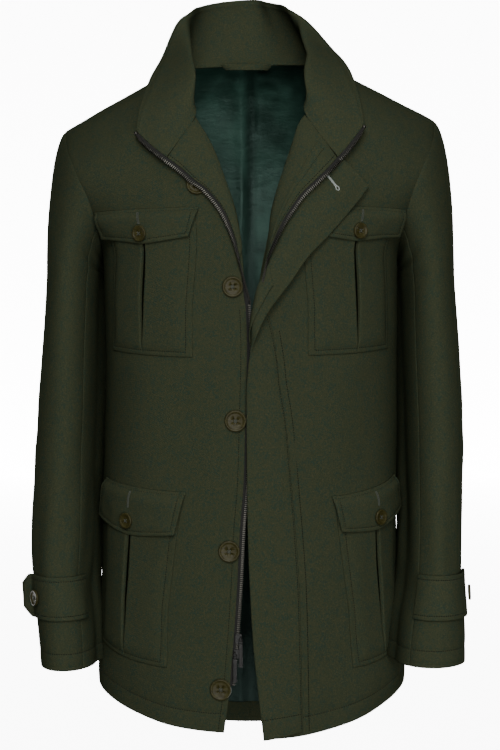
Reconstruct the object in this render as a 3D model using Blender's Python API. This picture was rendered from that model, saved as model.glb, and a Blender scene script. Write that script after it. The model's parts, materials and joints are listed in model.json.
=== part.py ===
"""Field jacket, worn open on an invisible wearer, as thin cloth walls.

+X is the wearer's left, -Y the front and +Z up. The origin is the base of the neck, between the
shoulders. Sizes in the tables are millimetres; MM turns them into Blender's metres.
"""

from collections import namedtuple
from math import asin, cos, degrees, pi, radians, sin

import bmesh
import bpy
from mathutils import Matrix, Vector

MM = 0.001
RIGHT, LEFT = -1, 1  # sides of the wearer, as the sign of X

# ---------------------------------------------------------------- body of the jacket
ARMPIT_Z = -225.0
NECK_X, NECK_Z = 80.0, -2.0  # where the shoulder seam meets the collar
SHOULDER_SLOPE = 0.5255
NECK_RISE, NECK_ROUND = 0.5, 0.003  # the shoulder line between the neck points
NAPE_Z, NAPE_DROP = 7.5, 9.5  # the back neck seam: its middle, and its fall to the neck points
SHOULDER_TILT = 0.028  # the left shoulder sits a little higher
SEAM_Y = 10.0  # shoulder seam, behind the middle
SQUARENESS = 2.5  # exponent of the body's rings
CROWN = 2.2  # exponent of the curve over the shoulder
SHOULDER_FRONT, SHOULDER_BACK = 130.0, 122.0
ARMHOLE_SWEEP = 38.0  # degrees that the armhole cuts into front and back
HEM = {RIGHT: (-761.0, -725.0, -803.0), LEFT: (-768.0, -722.0, -803.0)}  # front, side, back

Ring = namedtuple("Ring", "z right left front back")
RINGS = (
    Ring(-810, 172, 172, 128, 120),
    Ring(-760, 175, 176, 128, 119),
    Ring(-710, 179, 183, 128, 117),
    Ring(-640, 176, 175, 128, 112),
    Ring(-560, 173, 172, 128, 108),
    Ring(-450, 170, 172, 128, 105),
    Ring(-340, 169, 171, 129, 111),
    Ring(-225, 172, 172, 130, 122),
)
Armhole = namedtuple("Armhole", "rise x")
ARMHOLES = (
    Armhole(0.0, 172),
    Armhole(0.17, 174),
    Armhole(0.38, 182),
    Armhole(0.55, 193),
    Armhole(0.8, 208),
    Armhole(1.0, 217),
)

# ---------------------------------------------------------------- open fronts
Edge = namedtuple("Edge", "z x")
FRONT_EDGE = {
    RIGHT: (
        Edge(-790, 31), Edge(-762, 29), Edge(-725, 24), Edge(-662, 18.5), Edge(-595, 14), Edge(-533, 11),
        Edge(-483, 7), Edge(-397, 4.5), Edge(-327, 3), Edge(-278, 5), Edge(-245, 7), Edge(-222, 9),
        Edge(-194, 12.5), Edge(-170, 18), Edge(-144, 27), Edge(-124, 35), Edge(-99, 46), Edge(-74, 60),
        Edge(-50, 72), Edge(-24, 78), Edge(-2, 80),
    ),
    LEFT: (
        Edge(-790, 28), Edge(-768, 26), Edge(-718, 20), Edge(-667, 14), Edge(-605, 10), Edge(-530, 8),
        Edge(-415, 7), Edge(-352, 13), Edge(-310, 23), Edge(-275, 27), Edge(-245, 26), Edge(-220, 23),
        Edge(-205, 22), Edge(-184, 23), Edge(-166, 27), Edge(-138, 35), Edge(-114, 43), Edge(-86, 53),
        Edge(-74, 60), Edge(-50, 72), Edge(-24, 78), Edge(-2, 80),
    ),
}
Lapel = namedtuple("Lapel", "roll_x roll_z edge_x edge_z stand_off")
LAPELS = {
    RIGHT: (
        Lapel(45, -99, 75, -134, 9),
        Lapel(34, -124, 60.5, -147, 9),
        Lapel(26.5, -145, 47, -157, 9),
        Lapel(18, -170, 29, -179, 8),
        Lapel(12.5, -194, 18, -206, 7),
        Lapel(8.5, -222, 11, -232, 6),
    ),
    LEFT: (
        Lapel(51.5, -86, 82, -137, 16),
        Lapel(43.5, -114, 68.5, -150, 16),
        Lapel(34.5, -138, 55, -163, 16),
        Lapel(26, -166, 42, -181, 15.5),
        Lapel(22, -184, 33, -196, 14.5),
        Lapel(20, -205, 25.5, -213, 14),
    ),
}
Strip = namedtuple("Strip", "seam_x seam_z seam_out mid_x mid_z mid_out free_x free_z free_out")
PLACKET = (
    Strip(103, -123, 7, 117, -137, 9, 131, -151, 9),
    Strip(90, -131, 8.5, 105, -148, 11, 120, -165, 12),
    Strip(75, -144, 9.5, 88, -165, 12, 101, -187, 12.5),
    Strip(62, -156, 9.5, 72, -182, 12, 81, -210, 12.5),
    Strip(50, -170, 9.5, 56, -200, 12, 62, -230, 12.5),
    Strip(38, -187, 8.5, 42, -222, 12, 44, -257, 12.5),
    Strip(25, -210, 7, 26, -243, 13, 33, -272, 12.5),
    Strip(17, -232, 6, 15, -262, 14, 22, -287, 14),
    Strip(13, -256, 6, 8, -280, 15, 14, -301, 17),
    Strip(17, -284, 6, 3, -301, 13, 8, -316, 18),
    Strip(25, -312, 6, 6, -324, 9, 2, -332, 13),
    Strip(30, -343, 6, 13, -348, 8, -2, -352, 9),
    Strip(33, -371, 6, 14, -374, 7, -4, -377, 7),
    Strip(40, -415, 6, 18, -415, 7, -4, -415, 7),
    Strip(46, -480, 6, 21, -480, 7, -3.5, -480, 7),
    Strip(51, -540, 6, 24, -540, 7, -2.5, -540, 7),
    Strip(55, -600, 6, 27, -602, 7, 0, -604, 7),
    Strip(57, -665, 6, 30, -666, 7, 4, -668, 7),
    Strip(58, -720, 6, 34, -722, 7, 10, -724, 7),
    Strip(59, -760, 6, 37, -764, 7, 15, -768, 7),
)
FLY_OUT = 2.6  # how far the fly strip lies from the placket's middle
FLY_FIRST = 6.2  # row of the placket where the fly strip begins

# ---------------------------------------------------------------- collar
Collar = namedtuple("Collar", "along base middle free")
COLLAR = (
    Collar(0.00, (0, 52, 9), (0, 65, 48), (0, 64, 84)),
    Collar(0.14, (31, 47, 9), (34, 59, 47), (35, 58, 81)),
    Collar(0.28, (58, 34, 6), (60, 40, 41), (58, 37, 73)),
    Collar(0.42, (79, 12, 1), (74, 12, 31), (68, 9, 64)),
    Collar(0.55, (79.8, -20, -3.5), (70, -26, 24), (86, -8, 43)),
    Collar(0.67, (76.8, -53, -21), (68, -58, 2), (102, -18, 5)),
    Collar(0.78, (71.5, -81, -46), (66, -86, -26), (115, -44, -21)),
    Collar(0.89, (61, -97, -71), (86, -99, -64), (124, -80, -58)),
    Collar(1.00, (92, -119, -118), (110, -110, -103), (127, -97, -86)),
)
COLLAR_THICK = 2.4
COLLAR_LEAN = 0.40  # the left side of the stand leans in over the neck

# ---------------------------------------------------------------- sleeves
Tube = namedtuple("Tube", "z x y wide deep")
SLEEVES = {
    RIGHT: (
        Tube(-250, 208, 10, 31, 78),
        Tube(-330, 211.5, 2, 31.5, 76),
        Tube(-440, 215, -14, 34, 71),
        Tube(-540, 217.5, -34, 35, 64),
        Tube(-600, 216, -52, 33, 60),
        Tube(-650, 211, -64, 32, 56),
        Tube(-692, 208, -72, 31, 53),
    ),
    LEFT: (
        Tube(-250, 208.5, 10, 31.5, 78),
        Tube(-330, 212, 2, 32, 76),
        Tube(-420, 215, -16, 33, 71),
        Tube(-540, 212.5, -54, 31, 62),
        Tube(-595, 209.5, -76, 32.5, 56),
        Tube(-640, 205.5, -94, 36.5, 52),
        Tube(-682, 202, -106, 38.5, 49),
    ),
}
CAP_SHARE = 0.3  # share of the sleeve's length that runs from the armhole to the first ring
ARMHOLE_GAP = 1.2
TOP_SEAMS = (-105.0, 132.0)  # degrees round the sleeve; 0 is outside, 90 in front
SEAM_GAP = 0.8  # degrees, at sleeve seams
BODY_GAP = 0.03  # degrees, at side and back seams

# ---------------------------------------------------------------- pockets, tabs and buttons
Pocket = namedtuple("Pocket", "kind side inner outer lean splay top bottom flap_drop point lift low_lift")
POCKETS = (
    Pocket("chest", RIGHT, 50, 150, 10, 6, -175, -341, 33, 8, 0, 6),
    Pocket("chest", LEFT, 50, 150, 10, 4, -172, -339, 33, 8, 0, 6),
    Pocket("lower", RIGHT, 70, 163, 14, 0, -491, -689, 48, 8, 11, 20),
    Pocket("lower", LEFT, 90, 166, 16, 0, -496, -691, 40, 8, 20, 20),
)
POCKET_OUT, FLAP_OUT = 3.4, 7.0
PLEAT_DEPTH = 1.3
CLOTH, FLAP_THICK = 1.6, 2.0

Button = namedtuple("Button", "name side x z radius")
FRONT_BUTTONS = (
    Button("button_front_1", RIGHT, 58, -150, 12),
    Button("button_front_2", RIGHT, 19, -263, 11.5),
    Button("button_front_3", RIGHT, 16, -411, 12),
    Button("button_front_4", RIGHT, 23, -556, 12),
    Button("button_front_5", RIGHT, 32.5, -711, 12),
)
BUTTON_THICK, BUTTON_STEPS = 3.2, 12
TAB_BUTTON = {RIGHT: 48.0, LEFT: 14.0}  # degrees round the sleeve
TAB_Z = {RIGHT: (-589.0, -637.0), LEFT: (-584.0, -632.0)}
TAB_SPAN = {RIGHT: (150.0, 30.0), LEFT: (132.0, 0.0)}
TAB_TIP = 15.0  # how far the pointed end stands on past the round of the sleeve

# ---------------------------------------------------------------- zip
TAPE_NEAR, TAPE_FAR = 0.9, 5.0  # from the cloth's edge
TAPE_THICK = 1.1
TAPE_TOP_ROW, TAPE_END_ROW = 9, 1  # the fronts' rows that carry the tape
SLIDER_Z = (-654.0, -671.0)  # upper and lower
SLIDER_TALL, SLIDER_WIDE, SLIDER_DEEP = 11.0, 7.8, 6.0
PULL_LONG, PULL_WIDE, PULL_THICK = 31.0, 4.4, 1.4
PULL_SHIFT = 2.7  # the two pulls hang side by side
EYE_RADIUS = 0.6


def blend(rows, key, column, at):
    """Value of a column where the key column equals `at`, on a smooth curve through the rows."""
    keys = [getattr(row, key) for row in rows]
    values = [getattr(row, column) for row in rows]
    if isinstance(values[0], tuple):
        values = [Vector(value) for value in values]
    at = min(max(at, keys[0]), keys[-1])
    i = max(n for n in range(len(keys) - 1) if keys[n] <= at)

    def slope(n):
        low, high = max(n - 1, 0), min(n + 1, len(keys) - 1)
        return (values[high] - values[low]) / (keys[high] - keys[low])

    span = keys[i + 1] - keys[i]
    t = (at - keys[i]) / span
    return (
        values[i] * (1 + 2 * t) * (1 - t) ** 2
        + slope(i) * (span * t * (1 - t) ** 2)
        + values[i + 1] * (t * t * (3 - 2 * t))
        - slope(i + 1) * (span * t * t * (1 - t))
    )


def through(first, middle, last, t):
    """Point at t on the parabola through three points, the middle one at one half."""
    return first * ((1 - t) * (1 - 2 * t)) + middle * (4 * t * (1 - t)) + last * (t * (2 * t - 1))


# ================================================================ form of the body
def shoulder_z(side, x):
    inside = max(NECK_X - x, 0)
    if inside:
        return NECK_Z + NECK_RISE * inside - NECK_ROUND * inside**2 + side * SHOULDER_TILT * x
    return NECK_Z - SHOULDER_SLOPE * (x - NECK_X) + side * SHOULDER_TILT * x


def hem_z(side, angle):
    front, edge, back = HEM[side]
    end = front if angle < 90 else back
    return edge + (end - edge) * cos(radians(angle)) ** 2


def armhole_angle(rise):
    """How far round the front cloth reaches, in degrees, at a height between armpit and shoulder."""
    return 90 - ARMHOLE_SWEEP * max(sin(pi * rise), 0) ** 0.8


def half_width(side, z, rise):
    if rise <= 0:
        return blend(RINGS, "z", "right" if side == RIGHT else "left", z)
    return blend(ARMHOLES, "rise", "x", rise) / sin(radians(armhole_angle(rise))) ** (2 / SQUARENESS)


def form(side, angle, level):
    """Point of the cloth. Angle: 0 centre front, 90 side, 180 centre back. Level: 0 hem, 1 armpit, 2 shoulder."""
    across = abs(sin(radians(angle))) ** (2 / SQUARENESS)
    depth = abs(cos(radians(angle))) ** (2 / SQUARENESS)
    forward = angle < 90
    rise = max(level - 1, 0)
    if rise == 0:
        z = hem_z(side, angle) + (ARMPIT_Z - hem_z(side, angle)) * level
        x = half_width(side, z, 0) * across
        reach = blend(RINGS, "z", "front" if forward else "back", z)
    else:
        x = half_width(side, 0, rise) * across
        z = ARMPIT_Z + (shoulder_z(side, x) - ARMPIT_Z) * rise
        reach = (SHOULDER_FRONT if forward else SHOULDER_BACK) * max(1 - rise**CROWN, 0) ** (1 / CROWN)
    y = SEAM_Y * rise + (-reach if forward else reach) * depth
    return Vector((side * x, y, z))


def outward(side, angle, level):
    """Unit normal of the form, pointing out of the jacket."""
    turn, lift = 1.0, 0.01
    around = form(side, min(angle + turn, 179.9), level) - form(side, max(angle - turn, 0.1), level)
    up = form(side, angle, min(level + lift, 1.995)) - form(side, angle, level - lift)
    return around.cross(up).normalized() * side


def cloth(side, angle, level, out=0.0):
    return form(side, angle, level) + outward(side, angle, level) * out


def front_angle(side, x, z, rise):
    return degrees(asin(min(max(x / half_width(side, z, rise), 0), 1) ** (SQUARENESS / 2)))


def on_front(side, x, z, out=0.0):
    """Point of the front cloth at a given distance x from the middle and height z, moved out."""
    away = abs(x)
    rise = (z - ARMPIT_Z) / (shoulder_z(side, away) - ARMPIT_Z)
    if rise > 0:
        angle, level = front_angle(side, away, z, rise), 1 + min(rise, 0.99)
    else:
        angle = front_angle(side, away, z, 0)
        level = (z - hem_z(side, angle)) / (ARMPIT_Z - hem_z(side, angle))
    point = cloth(side, angle, level, out)
    if x < 0:  # past the middle: the cloth carries straight on
        point.x = side * x
    return point


# ================================================================ making solids
def finish(name, mesh, colour, rough, metal=0.0):
    obj = bpy.data.objects.new(name, mesh)
    bpy.context.scene.collection.objects.link(obj)
    material = bpy.data.materials.new(name)
    material.use_nodes = True
    shader = material.node_tree.nodes["Principled BSDF"]
    shader.inputs["Base Color"].default_value = (*colour, 1)
    shader.inputs["Roughness"].default_value = rough
    shader.inputs["Metallic"].default_value = metal
    mesh.materials.append(material)
    mesh.shade_smooth()
    mesh.set_sharp_from_angle(angle=radians(40))
    return obj


WOOL, SATIN, HORN = (0.030, 0.038, 0.022), (0.012, 0.030, 0.024), (0.045, 0.042, 0.014)
DARK_METAL, TAPE = (0.12, 0.12, 0.12), (0.015, 0.015, 0.014)


def wall(name, across, along, place, thick=CLOTH, colour=WOOL, rough=0.9):
    """Cloth: a grid placed by place(u, v), u and v from 0 to 1, given its thickness about the middle."""
    bm = bmesh.new()
    bmesh.ops.create_grid(bm, x_segments=across, y_segments=along, size=0.5)
    for vert in bm.verts:
        vert.co = place(vert.co.x + 0.5, vert.co.y + 0.5) * MM
    mesh = bpy.data.meshes.new(name)
    bm.to_mesh(mesh)
    bm.free()
    obj = finish(name, mesh, colour, rough)
    solid = obj.modifiers.new("thickness", "SOLIDIFY")
    solid.thickness = thick * MM
    solid.offset = 0
    return obj


def named(stem, side):
    return f"{stem}_{'right' if side == RIGHT else 'left'}"


# ================================================================ body panels
HEM_ROWS = 0.48  # share of a panel's rows below the armpit
FRONT_ROWS, FACING_ROWS, COLLAR_ROWS = 21, 12, 4


def row_level(v):
    """Level of a panel's row: rows are spread over the lower part, then over the shoulder."""
    if v <= HEM_ROWS:
        return v / HEM_ROWS
    return 1 + 0.998 * sin((v - HEM_ROWS) / (1 - HEM_ROWS) * pi / 2)


def front_inner_angle(side, level):
    """Where the front cloth's inner edge lies at a level: found on the rows' own height."""
    angle = 8.0
    for _ in range(6):
        z = form(side, angle, level).z
        x = blend(FRONT_EDGE[side], "z", "x", z)
        angle = front_angle(side, x, z, max(level - 1, 0))
    return angle


def front_point(side, u, v):
    """Point of a front: u from the open edge to the side seam or armhole, v from hem to shoulder."""
    level = row_level(v)
    inner = front_inner_angle(side, level)
    outer = armhole_angle(level - 1) if level > 1 else 90
    point = cloth(side, inner + (outer - BODY_GAP - inner) * u, level)
    point.y -= 0.8 * max(level - 1, 0) ** 8  # clear of the back at the shoulder seam
    return point


def make_front(side):
    wall(named("front", side), 10, FRONT_ROWS, lambda u, v: front_point(side, u, v))


def neck_level(side, x):
    """Level of the back's top edge: the shoulder seam, and inside the neck points the neck seam."""
    if x >= NECK_X:
        return 1.998
    seam_z = NAPE_Z - NAPE_DROP * (x / NECK_X) ** 3 + side * SHOULDER_TILT * x
    return 1 + min((seam_z - ARMPIT_Z) / (shoulder_z(side, x) - ARMPIT_Z), 0.998)


def make_back(side):
    def place(u, v):
        level = row_level(v)
        outer = 180 - armhole_angle(level - 1) if level > 1 else 90
        angle = outer + BODY_GAP + (180 - outer - 2 * BODY_GAP) * u
        x = abs(form(side, angle, level).x)
        if level > 1:
            level = 1 + (neck_level(side, x) - 1) * (level - 1) / 0.998
        point = cloth(side, angle, level)
        point.y += 0.8 * max(level - 1, 0) ** 8
        return point

    wall(named("back", side), 9, 17, place)


LINING_ANGLE = 96.0  # it starts just behind the side seam
LINING_OUT = -7.0
LINING_HEM = 0.04  # level of its hem, above the jacket's
LINING_PLEAT = 2.6


def make_lining():
    def place(u, v):
        side = LEFT if u >= 0.5 else RIGHT
        angle = LINING_ANGLE + (179.95 - LINING_ANGLE) * (1 - abs(2 * u - 1))
        level = LINING_HEM + (1.0 - LINING_HEM) * v / 0.55 if v <= 0.55 else 1 + 0.9 * sin((v - 0.55) / 0.45 * pi / 2)
        if level > 1:
            outer = 180 - armhole_angle(level - 1)
            angle = outer + 6 + (179.95 - outer - 6) * (1 - abs(2 * u - 1))
            x = abs(form(side, angle, level).x)
            level = 1 + (level - 1) / 0.9 * (neck_level(side, x) - 1.004)
        fold = LINING_PLEAT if abs(u - 0.5) < 0.01 else 0
        return cloth(side, angle, level, LINING_OUT - fold)

    wall("lining_back", 16, 15, place, 1.2, SATIN, 0.4)


# ================================================================ collar, facings and placket
def collar_point(u, v):
    """u runs from -1 at the right corner, round the back, to 1 at the left one; v from seam to free edge."""
    side = LEFT if u >= 0 else RIGHT
    rows = [Collar(-row.along, *[(-p[0], p[1], p[2]) for p in row[1:]]) for row in COLLAR[:0:-1]]
    rows += COLLAR
    base, middle, free = (blend(rows, "along", column, u) for column in ("base", "middle", "free"))
    point = through(base, middle, free, v)
    point.z += side * SHOULDER_TILT * abs(point.x)
    if side == LEFT:
        point.x -= COLLAR_LEAN * max(point.z, 0) * min(point.x / 50, 1)
    return point


def make_collar():
    wall("collar", 30, COLLAR_ROWS, lambda u, v: collar_point(2 * u - 1, v), COLLAR_THICK)


def facing_rows(side):
    """Roll and edge points of a lapel, from the collar seam down."""
    seam = [collar_point(side * along, 0) for along in (0.89, 1.0)]
    rows = [(seam[0], seam[1])]
    for row in LAPELS[side]:
        roll = on_front(side, row.roll_x, row.roll_z, 3.2)
        edge = on_front(side, row.edge_x, row.edge_z, row.stand_off)
        rows.append((roll, edge))
    return rows


Line = namedtuple("Line", "t point")


def along_points(points, t):
    """Point at t, 0 to 1, on a smooth curve through evenly numbered points."""
    lines = [Line(n / (len(points) - 1), tuple(point)) for n, point in enumerate(points)]
    return blend(lines, "t", "point", t)


SEAM_CLEAR = 0.02  # share of the lapel's length left clear at the collar seam
LAPEL_END = 0.99
LAPEL_SWELL = 14.0  # how far the facing swells forward between roll and edge, at its top


def facing_point(side, u, v):
    """v from the collar seam down, u from the roll to the zip."""
    rows = facing_rows(side)
    roll = along_points([row[0] for row in rows], v)
    edge = along_points([row[1] for row in rows], v)
    point = roll.lerp(edge, u)
    point.y -= LAPEL_SWELL * u * (1 - u) * (1 - v)
    return point


def make_facing(side):
    wall(
        named("facing", side), 3, FACING_ROWS,
        lambda u, v: facing_point(side, u, SEAM_CLEAR + (LAPEL_END - SEAM_CLEAR) * v), COLLAR_THICK,
    )


GUARD_SPAN, GUARD_DROP = (0.52, 0.70), (0.05, 0.80)
GUARD_OUT = 2.6


def make_zip_guard():
    def place(u, v):
        across = GUARD_SPAN[0] + (GUARD_SPAN[1] - GUARD_SPAN[0]) * u
        point = facing_point(LEFT, across, GUARD_DROP[0] + (GUARD_DROP[1] - GUARD_DROP[0]) * v)
        point.y -= GUARD_OUT
        return point

    wall("zip_guard", 1, 9, place, 1.0)


def placket_columns():
    return [
        [on_front(LEFT, getattr(row, c + "_x"), getattr(row, c + "_z"), getattr(row, c + "_out")) for row in PLACKET]
        for c in ("seam", "mid", "free")
    ]


def placket_point(columns, u, v):
    """v from the collar end down, u from the seam to the free edge."""
    return through(*(along_points(column, v) for column in columns), u)


def make_placket():
    columns = placket_columns()
    wall("placket", 4, 38, lambda u, v: placket_point(columns, u, v), 2.2)


def make_fly_strip():
    columns = placket_columns()
    first = FLY_FIRST / (len(PLACKET) - 1)
    step = 0.004

    def place(u, v):
        across, down = 0.3 + 0.42 * u, first + (0.995 - first) * v
        point = placket_point(columns, across, down)
        over = placket_point(columns, across + 0.02, down) - point
        fall = placket_point(columns, across, min(down + step, 1)) - placket_point(columns, across, down - step)
        return point + fall.cross(over).normalized() * FLY_OUT

    wall("fly_strip", 2, 30, place, 1.2)


LOOP_HALF, LOOP_TALL, LOOP_BOW = 32.0, 7.0, 9.0
LOOP_X, LOOP_Y, LOOP_Z = -4.0, 47.5, 1.0
LOOP_ENDS = 0.78  # width of its lower edge beside the upper one


def make_hanger_loop():
    def place(u, v):
        x = LOOP_X + (2 * u - 1) * LOOP_HALF * (LOOP_ENDS + (1 - LOOP_ENDS) * v)
        bow = LOOP_BOW * (1 - (2 * u - 1) ** 4)
        return Vector((x, LOOP_Y - x * x / 200 - bow, LOOP_Z + LOOP_TALL * v))

    wall("hanger_loop", 8, 1, place, 1.4)


# ================================================================ sleeves
def armhole_point(side, turn):
    """Point of the armhole's edge; turn 0 is the shoulder, 90 the front, 180 the armpit, 270 the back."""
    rise = min(max((1 + cos(radians(turn))) / 2, 0), 0.999)
    angle = armhole_angle(rise)
    point = form(side, angle if turn % 360 <= 180 else 180 - angle, 1 + rise)
    point.x += side * ARMHOLE_GAP * (2 - cos(radians(turn)))
    return point


def ring_point(side, turn, z):
    tube = SLEEVES[side][::-1]
    x, y, wide, deep = (blend(tube, "z", column, z) for column in ("x", "y", "wide", "deep"))
    return Vector((side * (x + wide * cos(radians(turn))), y - deep * sin(radians(turn)), z))


def sleeve_point(side, turn, s):
    """Point of a sleeve; s is 0 at the armhole and 1 at the cuff."""
    top, cuff = SLEEVES[side][0].z, SLEEVES[side][-1].z
    if s > CAP_SHARE:
        return ring_point(side, turn, top + (cuff - top) * (s - CAP_SHARE) / (1 - CAP_SHARE))
    start, end = armhole_point(side, turn), ring_point(side, turn, top)
    far = (end - start).length
    leave = start + Vector((side * 0.1, 0, -0.09)) * far
    arrive = end + Vector((0, 0, 0.34 * far))
    t = s / CAP_SHARE
    return (
        start * (1 - t) ** 3 + leave * (3 * t * (1 - t) ** 2) + arrive * (3 * t * t * (1 - t)) + end * t**3
    )


def sleeve_out(side, turn, s):
    around = sleeve_point(side, turn + 1, s) - sleeve_point(side, turn - 1, s)
    down = sleeve_point(side, turn, min(s + 0.01, 1)) - sleeve_point(side, turn, max(s - 0.01, 0))
    return down.cross(around).normalized() * -side


def sleeve_cloth(side, turn, s, out):
    return sleeve_point(side, turn, s) + sleeve_out(side, turn, s) * out


def make_sleeve(side):
    first, last = TOP_SEAMS
    spans = {"sleeve_top": (first, last, 11), "sleeve_under": (last, first + 360, 7)}
    for stem, (start, end, cells) in spans.items():
        wall(
            named(stem, side), cells, 15,
            lambda u, v: sleeve_point(side, start + SEAM_GAP + (end - start - 2 * SEAM_GAP) * u, v**0.8),
        )


def sleeve_share(side, z):
    top, cuff = SLEEVES[side][0].z, SLEEVES[side][-1].z
    return CAP_SHARE + (1 - CAP_SHARE) * (z - top) / (cuff - top)


def make_tab(side):
    """Strap round the front of the sleeve; its pointed end leaves the round of the sleeve."""
    high, low = TAB_Z[side]
    start, end = TAB_SPAN[side]

    def place(u, v):
        body = min(u / 0.8, 1)
        turn = start + (end - start) * body
        middle = (high + low) / 2
        narrow = 1 - 0.45 * max(u - 0.86, 0) / 0.14
        z = middle + (high - low) * (0.5 - v) * narrow
        point = sleeve_cloth(side, turn, sleeve_share(side, z), 3.2)
        if u > 0.8:
            ahead = sleeve_cloth(side, end - 2, sleeve_share(side, z), 3.2) - sleeve_cloth(
                side, end, sleeve_share(side, z), 3.2
            )
            point += ahead.normalized() * TAB_TIP * (u - 0.8) / 0.2
        return point

    wall(named("tab", side), 10, 3, place, FLAP_THICK)


# ================================================================ pockets
def pocket_point(pocket, u, down, out):
    """u from the inner edge to the outer one, down in mm below the pocket's top, moved out."""
    fall = down / (pocket.top - pocket.bottom)
    level_z = -400 if pocket.kind == "lower" else ARMPIT_Z
    inner = front_angle(pocket.side, pocket.inner + pocket.lean * min(fall * 1.5, 1), level_z, 0)
    outer = front_angle(pocket.side, pocket.outer + pocket.splay * fall, level_z, 0)
    angle = inner + (outer - inner) * u
    lift = pocket.lift + (pocket.low_lift - pocket.lift) * fall
    z = pocket.top + lift * u**1.5 - down
    if z > ARMPIT_Z:
        x = abs(form(pocket.side, angle, 1.1).x)
        rise = (z - ARMPIT_Z) / (shoulder_z(pocket.side, x) - ARMPIT_Z)
        return cloth(pocket.side, angle, 1 + rise, out)
    level = (z - hem_z(pocket.side, angle)) / (ARMPIT_Z - hem_z(pocket.side, angle))
    return cloth(pocket.side, angle, level, out)


def make_pocket(pocket):
    tall = pocket.top - pocket.bottom

    def body(u, v):
        # five columns: the middle one is sunk to make the inverted pleat
        across = 0.03 + 0.94 * u
        sunk = PLEAT_DEPTH if abs(u - 0.5) < 0.01 else 0
        return pocket_point(pocket, across, 6 + (tall - 6) * v, POCKET_OUT - sunk)

    def flap(u, v):
        drop = pocket.flap_drop + pocket.point * (1 - abs(2 * u - 1) ** 1.6)
        return pocket_point(pocket, u, drop * v, FLAP_OUT)

    wall(named("pocket_" + pocket.kind, pocket.side), 8, 5, body)
    wall(named("flap_" + pocket.kind, pocket.side), 8, 2, flap, FLAP_THICK)
    place, turn = flap(0.5, 0.70), (flap(0.51, 0.70) - flap(0.49, 0.70)).cross(flap(0.5, 0.65) - flap(0.5, 0.75))
    make_button(named("button_" + pocket.kind, pocket.side), place, turn * pocket.side, 9, FLAP_THICK / 2)


# ================================================================ buttons
def make_button(name, place, facing, radius, lift):
    """Round button with a rim and a dished middle, its back just clear of the cloth."""
    bm = bmesh.new()
    profile = (
        (0.0, 0.0), (radius - 0.8, 0.0), (radius, 0.9), (radius - 0.5, BUTTON_THICK),
        (radius - 2.2, BUTTON_THICK), (radius - 3.4, BUTTON_THICK - 0.9), (0.0, BUTTON_THICK - 0.9),
    )
    line = [bm.verts.new(Vector((r, 0, h)) * MM) for r, h in profile]
    edges = [bm.edges.new(pair) for pair in zip(line, line[1:])]
    bmesh.ops.spin(
        bm, geom=line + edges, axis=(0, 0, 1), cent=(0, 0, 0), angle=2 * pi, steps=BUTTON_STEPS, use_merge=True
    )
    bmesh.ops.remove_doubles(bm, verts=bm.verts, dist=1e-5)
    bmesh.ops.recalc_face_normals(bm, faces=bm.faces)
    mesh = bpy.data.meshes.new(name)
    bm.to_mesh(mesh)
    bm.free()
    obj = finish(name, mesh, HORN, 0.35)
    facing = facing.normalized()
    obj.matrix_world = Matrix.Translation((place + facing * (lift + 0.7)) * MM) @ facing.to_track_quat(
        "Z", "Y"
    ).to_matrix().to_4x4()


def make_buttons():
    for row in FRONT_BUTTONS:
        place = on_front(row.side, row.x, row.z)
        facing = on_front(row.side, row.x, row.z, 1) - place
        make_button(row.name, place, facing, row.radius, CLOTH / 2)
    for side in (RIGHT, LEFT):
        share = sleeve_share(side, sum(TAB_Z[side]) / 2)
        place = sleeve_cloth(side, TAB_BUTTON[side], share, 3.2)
        make_button(named("button_tab", side), place, sleeve_out(side, TAB_BUTTON[side], share), 9, FLAP_THICK / 2)


# ================================================================ zip
Tape = namedtuple("Tape", "near far")


def lapel_pairs(side):
    """Points on the edge of collar and facing, each with one inside it, from the collar's corner down."""
    pairs = []
    for n in range(COLLAR_ROWS, 0, -1):
        v = n / COLLAR_ROWS
        pairs.append((collar_point(side, v), collar_point(side * 0.985, v)))
    for n in range(FACING_ROWS + 1):
        v = SEAM_CLEAR + (LAPEL_END - SEAM_CLEAR) * n / FACING_ROWS
        pairs.append((facing_point(side, 1, v), facing_point(side, 0.8, v)))
    return pairs


def front_pairs(side):
    """The same on the front below the lapel, down to the tape's end above the hem."""
    rows = [n / FRONT_ROWS for n in range(TAPE_TOP_ROW, TAPE_END_ROW - 1, -1)]
    return [(front_point(side, 0, v), front_point(side, 0.1, v)) for v in rows]


def make_tape(name, pairs):
    """Narrow woven strip beside the cloth's edge, on the same rows as the cloth, so that it never cuts it."""
    rows = []
    for edge, inside in pairs:
        away = (edge - inside).normalized()
        rows.append(Tape(edge + away * TAPE_NEAR, edge + away * TAPE_FAR))
    last = len(rows) - 1
    wall(
        name, 1, last,
        lambda u, v: rows[round(v * last)].near.lerp(rows[round(v * last)].far, u), TAPE_THICK, TAPE, 0.8,
    )


def box_mesh(bm, low, high):
    """A box between two corners, added to a bmesh; returns its vertices."""
    size = [b - a for a, b in zip(low, high)]
    middle = [(a + b) / 2 for a, b in zip(low, high)]
    matrix = Matrix.Translation(Vector(middle) * MM) @ Matrix.Diagonal((*[s * MM for s in size], 1))
    return bmesh.ops.create_cube(bm, size=1, matrix=matrix)["verts"]


def union(name, boxes, colour, rough, metal):
    """One solid from overlapping boxes, joined by Booleans."""
    parts = []
    for n, (low, high) in enumerate(boxes):
        bm = bmesh.new()
        box_mesh(bm, low, high)
        mesh = bpy.data.meshes.new(f"{name}_{n}")
        bm.to_mesh(mesh)
        bm.free()
        parts.append(mesh)
    obj = finish(name, parts[0], colour, rough, metal)
    for n, mesh in enumerate(parts[1:]):
        helper = bpy.data.objects.new(f"{name}_helper_{n}", mesh)
        bpy.context.scene.collection.objects.link(helper)
        helper.hide_render = True
        helper.display_type = "WIRE"
        joined = obj.modifiers.new(f"join_{n}", "BOOLEAN")
        joined.operation = "UNION"
        joined.object = helper
        helper.parent = obj
    return obj


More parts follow.
